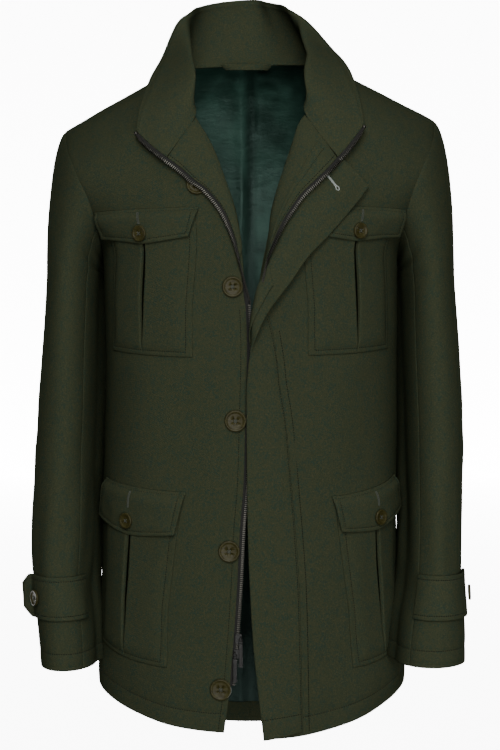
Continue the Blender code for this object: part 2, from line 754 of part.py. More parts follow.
def slider_place(z):
    edge = on_front(RIGHT, blend(FRONT_EDGE[RIGHT], "z", "x", z), z)
    return Vector((edge.x + 1.2, edge.y, z))


PLATE = 1.5
BRIDGE_HALF, BRIDGE_BAR, BRIDGE_HIGH = 1.5, 0.9, 3.0


def make_slider(name, z, shift):
    """Channel that wraps the tape's edge, with a bridge on its front for the pull's eye."""
    place = slider_place(z)
    half, front, back = SLIDER_TALL / 2, -SLIDER_DEEP / 2, SLIDER_DEEP / 2
    middle = SLIDER_WIDE / 2 + shift
    bridge = front - BRIDGE_HIGH
    boxes = (
        ((0, front, -half), (SLIDER_WIDE, front + PLATE, half)),
        ((0, back - PLATE, -half), (SLIDER_WIDE, back, half)),
        ((SLIDER_WIDE - 2.2, front + 0.2, -half + 0.2), (SLIDER_WIDE - 0.1, back - 0.2, half - 0.2)),
        ((middle - BRIDGE_HALF / 2, bridge, 1.6), (middle + BRIDGE_HALF / 2, front + 0.3, 1.6 + BRIDGE_BAR)),
        ((middle - BRIDGE_HALF / 2, bridge, -2.5), (middle + BRIDGE_HALF / 2, front + 0.3, -2.5 + BRIDGE_BAR)),
        ((middle - BRIDGE_HALF / 2 + 0.05, bridge - 0.02, -2.45), (middle + BRIDGE_HALF / 2 - 0.05, bridge + 0.9, 2.45)),
    )
    obj = union(name, boxes, DARK_METAL, 0.3, 1.0)
    obj.location = place * MM
    return place + Vector((middle, front - 1.15, -0.6))


def make_pull(name, pivot):
    """Flat pull on an eye; its origin is the hinge's axis, through the slider's bridge."""
    arm, wide = 0.8, PULL_WIDE / 2
    boxes = (
        ((-wide + 0.3, -EYE_RADIUS, -EYE_RADIUS), (wide - 0.3, EYE_RADIUS, EYE_RADIUS)),
        ((-wide, -EYE_RADIUS, -7.0), (-wide + arm, EYE_RADIUS, EYE_RADIUS)),
        ((wide - arm, -EYE_RADIUS, -7.0), (wide, EYE_RADIUS, EYE_RADIUS)),
        ((-wide + 0.02, -EYE_RADIUS - 0.1, -PULL_LONG), (wide - 0.02, EYE_RADIUS + 0.1, -4.4)),
    )
    obj = union(name, boxes, DARK_METAL, 0.35, 1.0)
    obj.location = pivot * MM


def make_zip():
    make_tape("zip_tape_right", lapel_pairs(RIGHT) + front_pairs(RIGHT))
    # the left tape passes behind the placket's roll, and its two stretches are two solids
    make_tape("zip_tape_left", lapel_pairs(LEFT))
    make_tape("zip_tape_left_low", front_pairs(LEFT))
    for stem, z, shift in (("upper", SLIDER_Z[0], PULL_SHIFT - 0.2), ("lower", SLIDER_Z[1], -PULL_SHIFT)):
        pivot = make_slider("slider_" + stem, z, shift)
        make_pull("pull_" + stem, pivot)


# ================================================================ the jacket
def main():
    for obj in list(bpy.data.objects):
        bpy.data.objects.remove(obj)
    for side in (RIGHT, LEFT):
        make_front(side)
        make_back(side)
        make_sleeve(side)
        make_facing(side)
        make_tab(side)
    make_collar()
    make_lining()
    make_hanger_loop()
    make_zip_guard()
    make_placket()
    make_fly_strip()
    for pocket in POCKETS:
        make_pocket(pocket)
    make_buttons()
    make_zip()


main()
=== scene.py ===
"""Field jacket, worn open on an invisible wearer: wool cloth, satin lining, horn buttons and a metal zip.

+X is the wearer's left, -Y the front and +Z up. The origin is the base of the neck. Sizes in the tables
are millimetres, and each mesh is made in metres.
"""

import json
import logging
from dataclasses import dataclass, field
from enum import Enum
from functools import lru_cache
from math import asin, ceil, cos, degrees, exp, hypot, pi, radians, sin
from pathlib import Path
from typing import Callable, NamedTuple, Sequence

import bmesh
import bpy
from mathutils import Matrix, Vector, noise
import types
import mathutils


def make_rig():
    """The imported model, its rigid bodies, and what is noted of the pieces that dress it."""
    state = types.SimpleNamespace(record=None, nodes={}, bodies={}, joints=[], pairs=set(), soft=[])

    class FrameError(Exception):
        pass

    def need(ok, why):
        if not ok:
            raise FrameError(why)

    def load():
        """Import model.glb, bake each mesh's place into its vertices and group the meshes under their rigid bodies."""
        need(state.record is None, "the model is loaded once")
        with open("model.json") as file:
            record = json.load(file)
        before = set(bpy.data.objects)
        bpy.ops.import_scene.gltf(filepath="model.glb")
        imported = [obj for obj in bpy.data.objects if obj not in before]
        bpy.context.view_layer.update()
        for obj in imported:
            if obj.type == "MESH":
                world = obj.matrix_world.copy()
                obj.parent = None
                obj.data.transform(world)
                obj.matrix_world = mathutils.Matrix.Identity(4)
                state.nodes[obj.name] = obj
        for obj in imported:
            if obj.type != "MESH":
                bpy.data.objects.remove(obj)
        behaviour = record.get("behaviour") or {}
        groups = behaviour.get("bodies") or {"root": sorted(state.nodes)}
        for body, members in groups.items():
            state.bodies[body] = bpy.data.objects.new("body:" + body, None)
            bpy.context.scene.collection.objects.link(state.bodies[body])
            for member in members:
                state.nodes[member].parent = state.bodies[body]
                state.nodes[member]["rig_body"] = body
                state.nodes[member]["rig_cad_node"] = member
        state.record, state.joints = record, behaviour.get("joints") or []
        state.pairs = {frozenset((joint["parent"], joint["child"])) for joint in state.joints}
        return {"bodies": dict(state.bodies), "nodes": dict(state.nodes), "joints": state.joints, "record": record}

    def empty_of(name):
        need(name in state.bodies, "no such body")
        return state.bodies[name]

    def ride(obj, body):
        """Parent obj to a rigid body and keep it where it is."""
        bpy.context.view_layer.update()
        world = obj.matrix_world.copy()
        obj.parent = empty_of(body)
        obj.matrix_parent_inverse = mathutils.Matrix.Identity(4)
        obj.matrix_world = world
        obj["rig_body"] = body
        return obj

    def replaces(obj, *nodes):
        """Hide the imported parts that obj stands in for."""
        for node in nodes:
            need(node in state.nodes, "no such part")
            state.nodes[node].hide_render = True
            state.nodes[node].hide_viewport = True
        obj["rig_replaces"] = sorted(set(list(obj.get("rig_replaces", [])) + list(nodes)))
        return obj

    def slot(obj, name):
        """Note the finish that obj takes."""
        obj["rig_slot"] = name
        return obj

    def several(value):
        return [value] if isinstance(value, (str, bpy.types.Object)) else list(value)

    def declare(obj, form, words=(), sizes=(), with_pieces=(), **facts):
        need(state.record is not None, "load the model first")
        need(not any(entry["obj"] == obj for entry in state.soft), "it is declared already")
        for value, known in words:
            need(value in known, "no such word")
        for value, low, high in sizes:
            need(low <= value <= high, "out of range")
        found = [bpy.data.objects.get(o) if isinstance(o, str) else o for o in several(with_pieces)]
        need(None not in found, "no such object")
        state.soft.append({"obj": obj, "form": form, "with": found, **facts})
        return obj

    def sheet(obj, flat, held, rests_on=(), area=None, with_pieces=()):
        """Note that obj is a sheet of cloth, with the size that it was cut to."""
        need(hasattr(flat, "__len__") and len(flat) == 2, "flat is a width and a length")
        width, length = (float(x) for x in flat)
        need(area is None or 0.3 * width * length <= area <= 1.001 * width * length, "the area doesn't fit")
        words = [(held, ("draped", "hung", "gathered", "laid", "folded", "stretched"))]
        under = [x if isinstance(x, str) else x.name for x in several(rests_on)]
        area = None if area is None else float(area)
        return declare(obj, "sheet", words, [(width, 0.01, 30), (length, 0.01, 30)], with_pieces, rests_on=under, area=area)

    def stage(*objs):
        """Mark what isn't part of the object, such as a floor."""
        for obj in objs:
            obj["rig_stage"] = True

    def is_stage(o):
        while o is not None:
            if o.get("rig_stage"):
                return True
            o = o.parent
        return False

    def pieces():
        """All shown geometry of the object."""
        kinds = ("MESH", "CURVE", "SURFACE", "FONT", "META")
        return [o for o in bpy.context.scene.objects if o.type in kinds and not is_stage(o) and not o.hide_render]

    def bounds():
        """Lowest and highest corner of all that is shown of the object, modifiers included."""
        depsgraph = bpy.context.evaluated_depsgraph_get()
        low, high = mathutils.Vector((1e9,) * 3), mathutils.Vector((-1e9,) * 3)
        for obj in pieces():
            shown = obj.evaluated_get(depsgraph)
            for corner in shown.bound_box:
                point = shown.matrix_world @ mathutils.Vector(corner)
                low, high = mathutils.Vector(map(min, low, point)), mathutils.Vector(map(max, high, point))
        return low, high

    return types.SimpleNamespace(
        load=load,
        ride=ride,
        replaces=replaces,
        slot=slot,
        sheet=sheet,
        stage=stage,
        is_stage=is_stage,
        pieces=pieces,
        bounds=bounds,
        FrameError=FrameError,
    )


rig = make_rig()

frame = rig.load()
CAD_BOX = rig.bounds()

log = logging.getLogger("field_jacket")
MM = 0.001
BODY = "jacket"
Value = float | Vector
Point = tuple[float, float]
Triple = tuple[float, float, float]


class Side(Enum):
    """A side of the wearer, with the sign of X."""

    RIGHT = -1
    LEFT = 1

    @property
    def word(self) -> str:
        """The side in lower case, as piece names end."""
        return self.name.lower()


# ---------------------------------------------------------------- tables of the cut
class Ring(NamedTuple):
    """Half widths and reaches of the body at one height."""

    z: float
    right: float
    left: float
    front: float
    back: float


class Pair(NamedTuple):
    """A value at a key, on a smooth curve."""

    key: float
    value: float


class Lapel(NamedTuple):
    """One row of a turned-back front: its roll, its zipped edge, and how far the edge stands off."""

    roll_x: float
    roll_z: float
    edge_x: float
    edge_z: float
    stand_off: float


class Strip(NamedTuple):
    """One row of the placket: x, z and distance out of its seam, its middle and its free edge."""

    seam: Triple
    mid: Triple
    free: Triple


class CollarRow(NamedTuple):
    """One row of the collar, from the centre back at 0 to the corner at 1."""

    along: float
    base: Triple
    middle: Triple
    free: Triple


class Tube(NamedTuple):
    """One ring of a sleeve."""

    z: float
    x: float
    y: float
    wide: float
    deep: float


def hermite(start: Value, end: Value, leave: Value, arrive: Value, t: float) -> Value:
    """Value at t, 0 to 1, on the cubic between two values, with its slopes at both."""
    return (
        start * ((1 + 2 * t) * (1 - t) ** 2) + leave * (t * (1 - t) ** 2)
        + end * (t * t * (3 - 2 * t)) - arrive * (t * t * (1 - t))
    )


def blend(rows: Sequence[NamedTuple], key: str, column: str, at: float) -> Value:
    """Read a table on a smooth curve.

    Args:
        rows: the table, in rising order of its key column.
        key: name of the key column.
        column: name of the column to read.
        at: key value.

    Returns:
        The value there, a Vector where the column holds points.
    """
    keys = [getattr(row, key) for row in rows]
    values = [getattr(row, column) for row in rows]
    if isinstance(values[0], tuple):
        values = [Vector(value) for value in values]
    at = min(max(at, keys[0]), keys[-1])
    i = max(n for n in range(len(keys) - 1) if keys[n] <= at)

    span = keys[i + 1] - keys[i]

    def slope(n: int) -> Value:
        """Slope of the curve at row n, for the whole of this span."""
        low, high = max(n - 1, 0), min(n + 1, len(keys) - 1)
        return (values[high] - values[low]) * (span / (keys[high] - keys[low]))

    return hermite(values[i], values[i + 1], slope(i), slope(i + 1), (at - keys[i]) / span)


def along_points(points: Sequence[Vector], t: float) -> Vector:
    """Point at t, 0 to 1, on a smooth curve through evenly numbered points."""
    last = len(points) - 1
    at = min(max(t, 0), 1) * last
    i = min(int(at), last - 1)

    def slope(n: int) -> Vector:
        """Slope of the curve at point n, per point."""
        low, high = max(n - 1, 0), min(n + 1, last)
        return (points[high] - points[low]) / (high - low)

    return hermite(points[i], points[i + 1], slope(i), slope(i + 1), at - i)


def through(first: Vector, middle: Vector, last: Vector, t: float) -> Vector:
    """Point at t on the parabola through three points, the middle one at one half."""
    return first * ((1 - t) * (1 - 2 * t)) + middle * (4 * t * (1 - t)) + last * (t * (2 * t - 1))


def step(low: float, high: float, at: float) -> float:
    """Smooth step from 0 at low to 1 at high."""
    t = min(max((at - low) / (high - low), 0), 1)
    return t * t * (3 - 2 * t)


def bell(distance: float, wide: float) -> float:
    """Soft bump of height 1 at 0 that is almost gone at twice its width."""
    return exp(-((distance / wide) ** 2))


def waver(x: float, y: float, z: float) -> float:
    """Slow unevenness about 0 that is the same on each run."""
    return noise.noise(Vector((x, y, z)))


@dataclass(frozen=True)
class Form:
    """The hollow form that the body's cloth follows."""

    armpit_z: float = -225.0
    neck_x: float = 80.0
    neck_z: float = -2.0
    shoulder_slope: float = 0.5255
    neck_rise: float = 0.5
    neck_round: float = 0.003
    nape_z: float = 7.5
    nape_drop: float = 9.5
    tilt: float = 0.028
    seam_y: float = 10.0
    squareness: float = 2.5
    crown: float = 2.2
    shoulder_front: float = 130.0
    shoulder_back: float = 122.0
    armhole_sweep: float = 38.0
    hem: dict[Side, Triple] = field(
        default_factory=lambda: {Side.RIGHT: (-761.0, -725.0, -810.0), Side.LEFT: (-768.0, -722.0, -810.0)}
    )
    rings: tuple[Ring, ...] = (
        Ring(-810, 172, 172, 128, 120),
        Ring(-760, 175, 176, 128, 119),
        Ring(-710, 179, 183, 128, 117),
        Ring(-640, 176, 175, 128, 112),
        Ring(-560, 173, 172, 128, 108),
        Ring(-450, 170, 172, 128, 105),
        Ring(-340, 169, 171, 129, 111),
        Ring(-225, 172, 172, 130, 122),
    )
    armholes: tuple[Pair, ...] = (
        Pair(0.0, 172), Pair(0.17, 174), Pair(0.38, 182), Pair(0.55, 193), Pair(0.8, 208), Pair(1.0, 217),
    )

    def shoulder_z(self, side: Side, x: float) -> float:
        """Height of the shoulder line at a distance x from the middle."""
        inside = max(self.neck_x - x, 0)
        tilt = side.value * self.tilt * x
        if inside:
            return self.neck_z + self.neck_rise * inside - self.neck_round * inside**2 + tilt
        return self.neck_z - self.shoulder_slope * (x - self.neck_x) + tilt

    def hem_z(self, side: Side, angle: float) -> float:
        """Height of the hem at an angle round the body."""
        front, edge, back = self.hem[side]
        end = front if angle < 90 else back
        return edge + (end - edge) * cos(radians(angle)) ** 2

    def armhole_angle(self, rise: float) -> float:
        """How far round the front cloth reaches, in degrees, at a share of the height from armpit to shoulder."""
        return 90 - self.armhole_sweep * max(sin(pi * rise), 0) ** 0.8

    def half_width(self, side: Side, z: float, rise: float) -> float:
        """Half width of the form's ring at a height, or at a rise above the armpit."""
        if rise <= 0:
            return blend(self.rings, "z", side.word, z)
        reach = blend(self.armholes, "key", "value", rise)
        return reach / sin(radians(self.armhole_angle(rise))) ** (2 / self.squareness)

    def point(self, side: Side, angle: float, level: float) -> Vector:
        """Point of the form.

        Args:
            side: which half of the body.
            angle: 0 at the centre front, 90 at the side, 180 at the centre back.
            level: 0 at the hem, 1 at the armpit, 2 at the shoulder.

        Returns:
            The point, in millimetres.
        """
        across = abs(sin(radians(angle))) ** (2 / self.squareness)
        depth = abs(cos(radians(angle))) ** (2 / self.squareness)
        forward = angle < 90
        rise = max(level - 1, 0)
        if rise == 0:
            low = self.hem_z(side, angle)
            z = low + (self.armpit_z - low) * level
            x = self.half_width(side, z, 0) * across
            reach = blend(self.rings, "z", "front" if forward else "back", z)
        else:
            x = self.half_width(side, 0, rise) * across
            z = self.armpit_z + (self.shoulder_z(side, x) - self.armpit_z) * rise
            full = self.shoulder_front if forward else self.shoulder_back
            reach = full * max(1 - rise**self.crown, 0) ** (1 / self.crown)
        y = self.seam_y * rise + (-reach if forward else reach) * depth
        return Vector((side.value * x, y, z))

    def outward(self, side: Side, angle: float, level: float) -> Vector:
        """Unit normal of the form, pointing out of the jacket."""
        turn, lift = 1.0, 0.01
        around = self.point(side, min(angle + turn, 179.9), level) - self.point(side, max(angle - turn, 0.1), level)
        up = self.point(side, angle, min(level + lift, 1.995)) - self.point(side, angle, level - lift)
        return around.cross(up).normalized() * side.value

    def cloth(self, side: Side, angle: float, level: float, out: float = 0.0) -> Vector:
        """Point of a cloth that lies a distance out from the form, with the drape that all its layers share."""
        base = self.point(side, angle, level)
        return base + self.outward(side, angle, level) * (out + drape(side, base))

    def front_angle(self, side: Side, x: float, z: float, rise: float) -> float:
        """Angle at which the front is a distance x from the middle."""
        share = min(max(x / self.half_width(side, z, rise), 0), 1)
        return degrees(asin(share ** (self.squareness / 2)))

    def on_front(self, side: Side, x: float, z: float, out: float = 0.0) -> Vector:
        """Point of the front cloth at a distance x from the middle and height z, moved out."""
        away = abs(x)
        rise = (z - self.armpit_z) / (self.shoulder_z(side, away) - self.armpit_z)
        if rise > 0:
            angle, level = self.front_angle(side, away, z, rise), 1 + min(rise, 0.99)
        else:
            angle = self.front_angle(side, away, z, 0)
            level = (z - self.hem_z(side, angle)) / (self.armpit_z - self.hem_z(side, angle))
        point = self.cloth(side, angle, level, out)
        if x < 0:
            point.x = side.value * x
        return point

    def neck_level(self, side: Side, x: float) -> float:
        """Level of the back's top edge: the shoulder seam, and inside the neck points the neck seam."""
        if x >= self.neck_x:
            return 1.998
        seam_z = self.nape_z - self.nape_drop * (x / self.neck_x) ** 3 + side.value * self.tilt * x
        return 1 + min((seam_z - self.armpit_z) / (self.shoulder_z(side, x) - self.armpit_z), 0.998)


class Fold(NamedTuple):
    """A soft ridge, or a trough where its height is negative, between two points (x, z) of the body's front."""

    side: Side
    start: Point
    end: Point
    width: float
    height: float


FOLDS = (
    Fold(Side.RIGHT, (60, -395), (84, -490), 26, -1.5),
    Fold(Side.RIGHT, (118, -352), (128, -470), 22, 1.4),
    Fold(Side.RIGHT, (150, -250), (120, -150), 22, -1.8),
    Fold(Side.RIGHT, (30, -330), (44, -640), 30, 1.5),
    Fold(Side.RIGHT, (150, -700), (120, -760), 18, -1.6),
    Fold(Side.RIGHT, (95, -690), (88, -770), 20, 1.2),
    Fold(Side.LEFT, (60, -350), (76, -480), 26, 1.4),
    Fold(Side.LEFT, (135, -350), (120, -480), 24, -1.6),
    Fold(Side.LEFT, (150, -245), (128, -150), 22, -1.8),
    Fold(Side.LEFT, (24, -300), (60, -420), 20, -1.4),
    Fold(Side.LEFT, (80, -690), (84, -775), 20, -1.4),
    Fold(Side.LEFT, (140, -690), (120, -770), 20, 1.6),
    Fold(Side.LEFT, (46, -120), (96, -86), 22, -1.2),
    Fold(Side.RIGHT, (46, -120), (96, -92), 22, -1.2),
)


def ridge(x: float, z: float, fold: Fold) -> float:
    """Height of a fold at a point: a soft bump across its line that fades at both ends."""
    ax, az = fold.start
    dx, dz = fold.end[0] - ax, fold.end[1] - az
    length = hypot(dx, dz)
    along = ((x - ax) * dx + (z - az) * dz) / length**2
    across = ((x - ax) * dz - (z - az) * dx) / length
    if not -0.4 < along < 1.4 or abs(across) > 3 * fold.width:
        return 0.0
    fade = step(-0.35, 0.2, along) * (1 - step(0.8, 1.35, along))
    return fold.height * fade * bell(across, fold.width)


def drape(side: Side, point: Vector) -> float:
    """How far the body's cloth stands off its form, in millimetres: listed folds and a slow unevenness."""
    if point.z > -20:
        return 0.0
    fade = step(-20, -70, point.z)
    slow = 1.3 * waver(point.x / 62, point.y / 62, point.z / 105 + side.value)
    slow += 0.45 * waver(point.x / 24, point.y / 24, point.z / 40 + 7)
    if point.y < 0:
        slow += sum(ridge(abs(point.x), point.z, fold) for fold in FOLDS if fold.side is side)
    near_edge = step(2, 26, abs(point.x)) if point.y < 0 else 1.0
    return slow * fade * near_edge


FORM = Form()


# ---------------------------------------------------------------- sheets of cloth
Relief = Callable[[float, float], float]
# a narrow strip is cut at least this wide, with the turnings that its seams hide, in millimetres
NARROW = 12
FINE, CLOSE = 1.6, 1.5  # how far the close grid lines are from an edge and from a mark
# the attribute named below holds painted shade, which darkens the cloth's colour in deep folds
PAINTED_SHADE = "fold_shade"  # name of the attribute that says how much a deep fold darkens the cloth
LEAST_GAP = 0.7  # grid lines nearer than this are one


def lines(length: float, cell: float, marks: Sequence[float] = ()) -> list[float]:
    """Grid lines for a sheet: even cells, with closer ones at both edges and about each mark.

    Args:
        length: the sheet's length in millimetres.
        cell: size of an even cell.
        marks: distances from the start that need close lines, such as a row of stitching.

    Returns:
        Shares of the length, from 0 to 1.
    """
    fine = [0.0, FINE, length - FINE, length]
    for mark in marks:
        fine += [mark - CLOSE, mark, mark + CLOSE]
    fine = sorted(at for at in fine if 0 <= at <= length)
    kept = [fine[0]]
    for at in fine[1:]:
        if at - kept[-1] < LEAST_GAP:
            continue
        gap = at - kept[-1]
        if gap > cell * 1.4:
            count = ceil(gap / cell)
            kept += [kept[-1] + gap * n / count for n in range(1, count)]
        kept.append(at)
    kept[-1] = length
    return [at / length for at in kept]


def groove(distance: float, at: float, depth: float = 0.55, wide: float = 1.1) -> float:
    """Height of the channel that a row of stitching pulls into cloth."""
    return -depth * bell(distance - at, wide)


def flat_relief(u: float, v: float) -> float:
    """No relief."""
    return 0.0


class Sheet:
    """A piece of cloth on a grid, placed by a function of two shares and raised by a relief along its normal."""

    def __init__(
        self, name: str, across: list[float], along: list[float], place: Callable[[float, float], Vector],
        inside: Vector, thick: float = 1.6, relief: Relief = flat_relief, dark: Relief = flat_relief,
    ) -> None:
        """Place the grid.

        Args:
            name: the piece's name.
            across: grid lines of the first share.
            along: grid lines of the second share.
            place: gives a point in millimetres for two shares.
            inside: a point on the side that the cloth's normal points away from.
            thick: thickness in millimetres.
            relief: height over the placed point, in millimetres.
            dark: share of painted shade: how much the cloth's colour is darkened where deep folds lie in shade.
        """
        self.name, self.across, self.along, self.thick, self.dark = name, across, along, thick, dark
        base = [[place(u, v) for v in along] for u in across]
        normals = [[self._normal(base, i, j) for j in range(len(along))] for i in range(len(across))]
        i, j = len(across) // 2, len(along) // 2
        self.sign = 1.0 if normals[i][j].dot(base[i][j] - inside) > 0 else -1.0
        self.normals = [[n * self.sign for n in row] for row in normals]
        self.points = [
            [base[i][j] + self.normals[i][j] * relief(u, v) for j, v in enumerate(along)]
            for i, u in enumerate(across)
        ]

    @staticmethod
    def _normal(base: list[list[Vector]], i: int, j: int) -> Vector:
        """Unit normal of the grid at one of its points."""
        last_i, last_j = len(base) - 1, len(base[0]) - 1
        over = base[min(i + 1, last_i)][j] - base[max(i - 1, 0)][j]
        down = base[i][min(j + 1, last_j)] - base[i][max(j - 1, 0)]
        return over.cross(down).normalized()

    @staticmethod
    def _cell(at: Sequence[float], t: float) -> tuple[int, float]:
        """Grid cell that holds a share, and the share of that cell."""
        t = min(max(t, 0), 1)
        i = max(n for n in range(len(at) - 1) if at[n] <= t)
        return i, (t - at[i]) / (at[i + 1] - at[i])

    def _mix(self, grid: list[list[Vector]], u: float, v: float) -> Vector:
        """Value of a grid of vectors at two shares."""
        (i, s), (j, t) = self._cell(self.across, u), self._cell(self.along, v)
        near = grid[i][j].lerp(grid[i][j + 1], t)
        far = grid[i + 1][j].lerp(grid[i + 1][j + 1], t)
        return near.lerp(far, s)

    def normal(self, u: float, v: float) -> Vector:
        """Unit normal of the finished cloth."""
        return self._mix(self.normals, u, v).normalized()

    def at(self, u: float, v: float, lift: float = 0.0) -> Vector:
        """Point a distance over the finished cloth's outer face."""
        return self._mix(self.points, u, v) + self.normal(u, v) * (self.thick / 2 + lift)

    def size(self) -> tuple[float, float, float]:
        """Mean width, mean length and area, in millimetres."""
        wide = sum(self._run([row[j] for row in self.points]) for j in range(len(self.along))) / len(self.along)
        tall = sum(self._run(row) for row in self.points) / len(self.across)
        area = 0.0
        for i in range(len(self.across) - 1):
            for j in range(len(self.along) - 1):
                a, b = self.points[i][j], self.points[i + 1][j]
                c, d = self.points[i + 1][j + 1], self.points[i][j + 1]
                area += (c - a).cross(d - b).length / 2
        return wide, tall, area

    @staticmethod
    def _run(row: Sequence[Vector]) -> float:
        """Length of a line of points."""
        return sum((b - a).length for a, b in zip(row, row[1:]))

    def build(self, finish: "Finish", held: str, *rests: str) -> None:
        """Make the piece, which stands for the CAD node of its name.

        Args:
            finish: its finish.
            rests: what it hangs from or lies on.
        """
        bm = bmesh.new()
        columns, rows = len(self.across) - 1, len(self.along) - 1
        bmesh.ops.create_grid(bm, x_segments=columns, y_segments=rows, size=0.5, calc_uvs=True)
        # painted shade: each vertex keeps how much its colour is darkened, for the materials to read
        shade = bm.verts.layers.float.new(PAINTED_SHADE)
        for vert in bm.verts:
            i, j = round((vert.co.x + 0.5) * columns), round((vert.co.y + 0.5) * rows)
            vert[shade] = self.dark(self.across[i], self.along[j])
            vert.co = self.points[i][j] * MM
        if self.sign < 0:
            bmesh.ops.reverse_faces(bm, faces=bm.faces)
        obj = new_piece(self.name + "_cloth", bm, finish)
        wall = obj.modifiers.new("wall", "SOLIDIFY")
        wall.thickness, wall.offset = self.thick * MM, 0
        soft = obj.modifiers.new("soft", "SUBSURF")
        soft.levels = soft.render_levels = 1
        soft.boundary_smooth = "PRESERVE_CORNERS"
        wide, tall, area = self.size()
        flat = max(wide, NARROW) * MM, max(tall, area / wide, NARROW) * MM
        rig.sheet(obj, flat=flat, held=held, rests_on=list(rests), area=area * MM * MM)
        settle(obj, finish, self.name)
        log.info("%s: flat %.0f x %.0f mm, %.4f m2", self.name, flat[0] / MM, flat[1] / MM, area * MM * MM)


def link_mesh(name: str, bm: bmesh.types.BMesh, material: bpy.types.Material | None = None) -> bpy.types.Object:
    """Make an object from a bmesh, link it to the scene, and free the bmesh."""
    mesh = bpy.data.meshes.new(name)
    bm.to_mesh(mesh)
    bm.free()
    if material:
        mesh.materials.append(material)
    obj = bpy.data.objects.new(name, mesh)
    bpy.context.scene.collection.objects.link(obj)
    return obj


def new_piece(name: str, bm: bmesh.types.BMesh, finish: "Finish") -> bpy.types.Object:
    """Make a smooth shaded object from a bmesh, in its finish."""
    obj = link_mesh(name, bm, finish.material())
    obj.data.shade_smooth()
    return obj


def settle(obj: bpy.types.Object, finish: "Finish", *nodes: str, body: str = BODY) -> None:
    """Let a piece ride on its body, and say which finish slot and which CAD nodes it stands for."""
    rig.ride(obj, body)
    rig.slot(obj, finish.slot)
    if nodes:
        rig.replaces(obj, *nodes)


class Needle:
    """Sews one piece of thread: short stitches, each a small rounded bead that lies in its groove."""

    steps = 24  # points that a straight run on a sheet is followed at
    bead_verts = 12

    def __init__(self, name: str, pitch: float = 2.7, long: float = 2.1, wide: float = 0.56) -> None:
        """Start with no stitches; pitch, length and half width are in millimetres."""
        self.name, self.pitch, self.long, self.wide = name, pitch, long, wide
        self.bm = bmesh.new()

    def along(self, points: Sequence[Vector], ups: Sequence[Vector]) -> None:
        """Sew along a line of points, each with the direction that is up from the cloth."""
        due, done = 0.0, 0.0
        for a, b, up in zip(points, points[1:], ups):
            reach = (b - a).length
            if reach < 1e-6:
                continue
            ahead = (b - a) / reach
            while due <= done + reach:
                self._stitch(a + ahead * (due - done), ahead, up)
                due += self.pitch
            done += reach

    def _stitch(self, place: Vector, ahead: Vector, up: Vector) -> None:
        """Add one stitch."""
        side = ahead.cross(up).normalized()
        turn = Matrix((ahead, side, side.cross(ahead))).transposed().to_4x4()
        size = Matrix.Diagonal((self.long / 2, self.wide, self.wide * 0.8, 1 / MM)) * MM
        spot = Matrix.Translation(place * MM) @ turn @ size
        bmesh.ops.create_icosphere(self.bm, subdivisions=1, radius=1, matrix=spot)

    def sew(self, sheet: Sheet, path: Sequence[Point], lift: float = 0.08) -> None:
        """Sew on a sheet along a path of shares (u, v), straight between them."""
        points, ups = [], []
        for (u0, v0), (u1, v1) in zip(path, path[1:]):
            for n in range(self.steps):
                u, v = u0 + (u1 - u0) * n / self.steps, v0 + (v1 - v0) * n / self.steps
                points.append(sheet.at(u, v, lift))
                ups.append(sheet.normal(u, v))
        points.append(sheet.at(*path[-1], lift))
        ups.append(sheet.normal(*path[-1]))
        self.along(points, ups)

    def build(self, finish: "Finish") -> None:
        """Make the thread's piece."""
        count = len(self.bm.verts) // self.bead_verts
        settle(new_piece(self.name, self.bm, finish), finish)
        log.info("%s: %d stitches", self.name, count)


# ---------------------------------------------------------------- finishes
class Sock:
    """A node socket or a number in a material's sums; each operator adds its Math node."""

    def __init__(self, nodes: "Nodes", value: bpy.types.NodeSocket | float) -> None:
        """Wrap a socket or a number."""
        self.nodes, self.value = nodes, value

    def _sum(self, operation: str, other: "Sock | float") -> "Sock":
        """Add one Math node for this value and another."""
        return self.nodes.add("ShaderNodeMath", {"operation": operation}, {0: self, 1: other})

    def __add__(self, other: "Sock | float") -> "Sock":
        """Sum."""
        return self._sum("ADD", other)

    __radd__ = __add__

    def __mul__(self, other: "Sock | float") -> "Sock":
        """Product."""
        return self._sum("MULTIPLY", other)

    def band(self, low: float, high: float) -> "Sock":
        """Smooth step from 0 at low to 1 at high."""
        return self.nodes.add(
            "ShaderNodeMapRange", {"interpolation_type": "SMOOTHSTEP"},
            {"Value": self, "From Min": low, "From Max": high},
        )


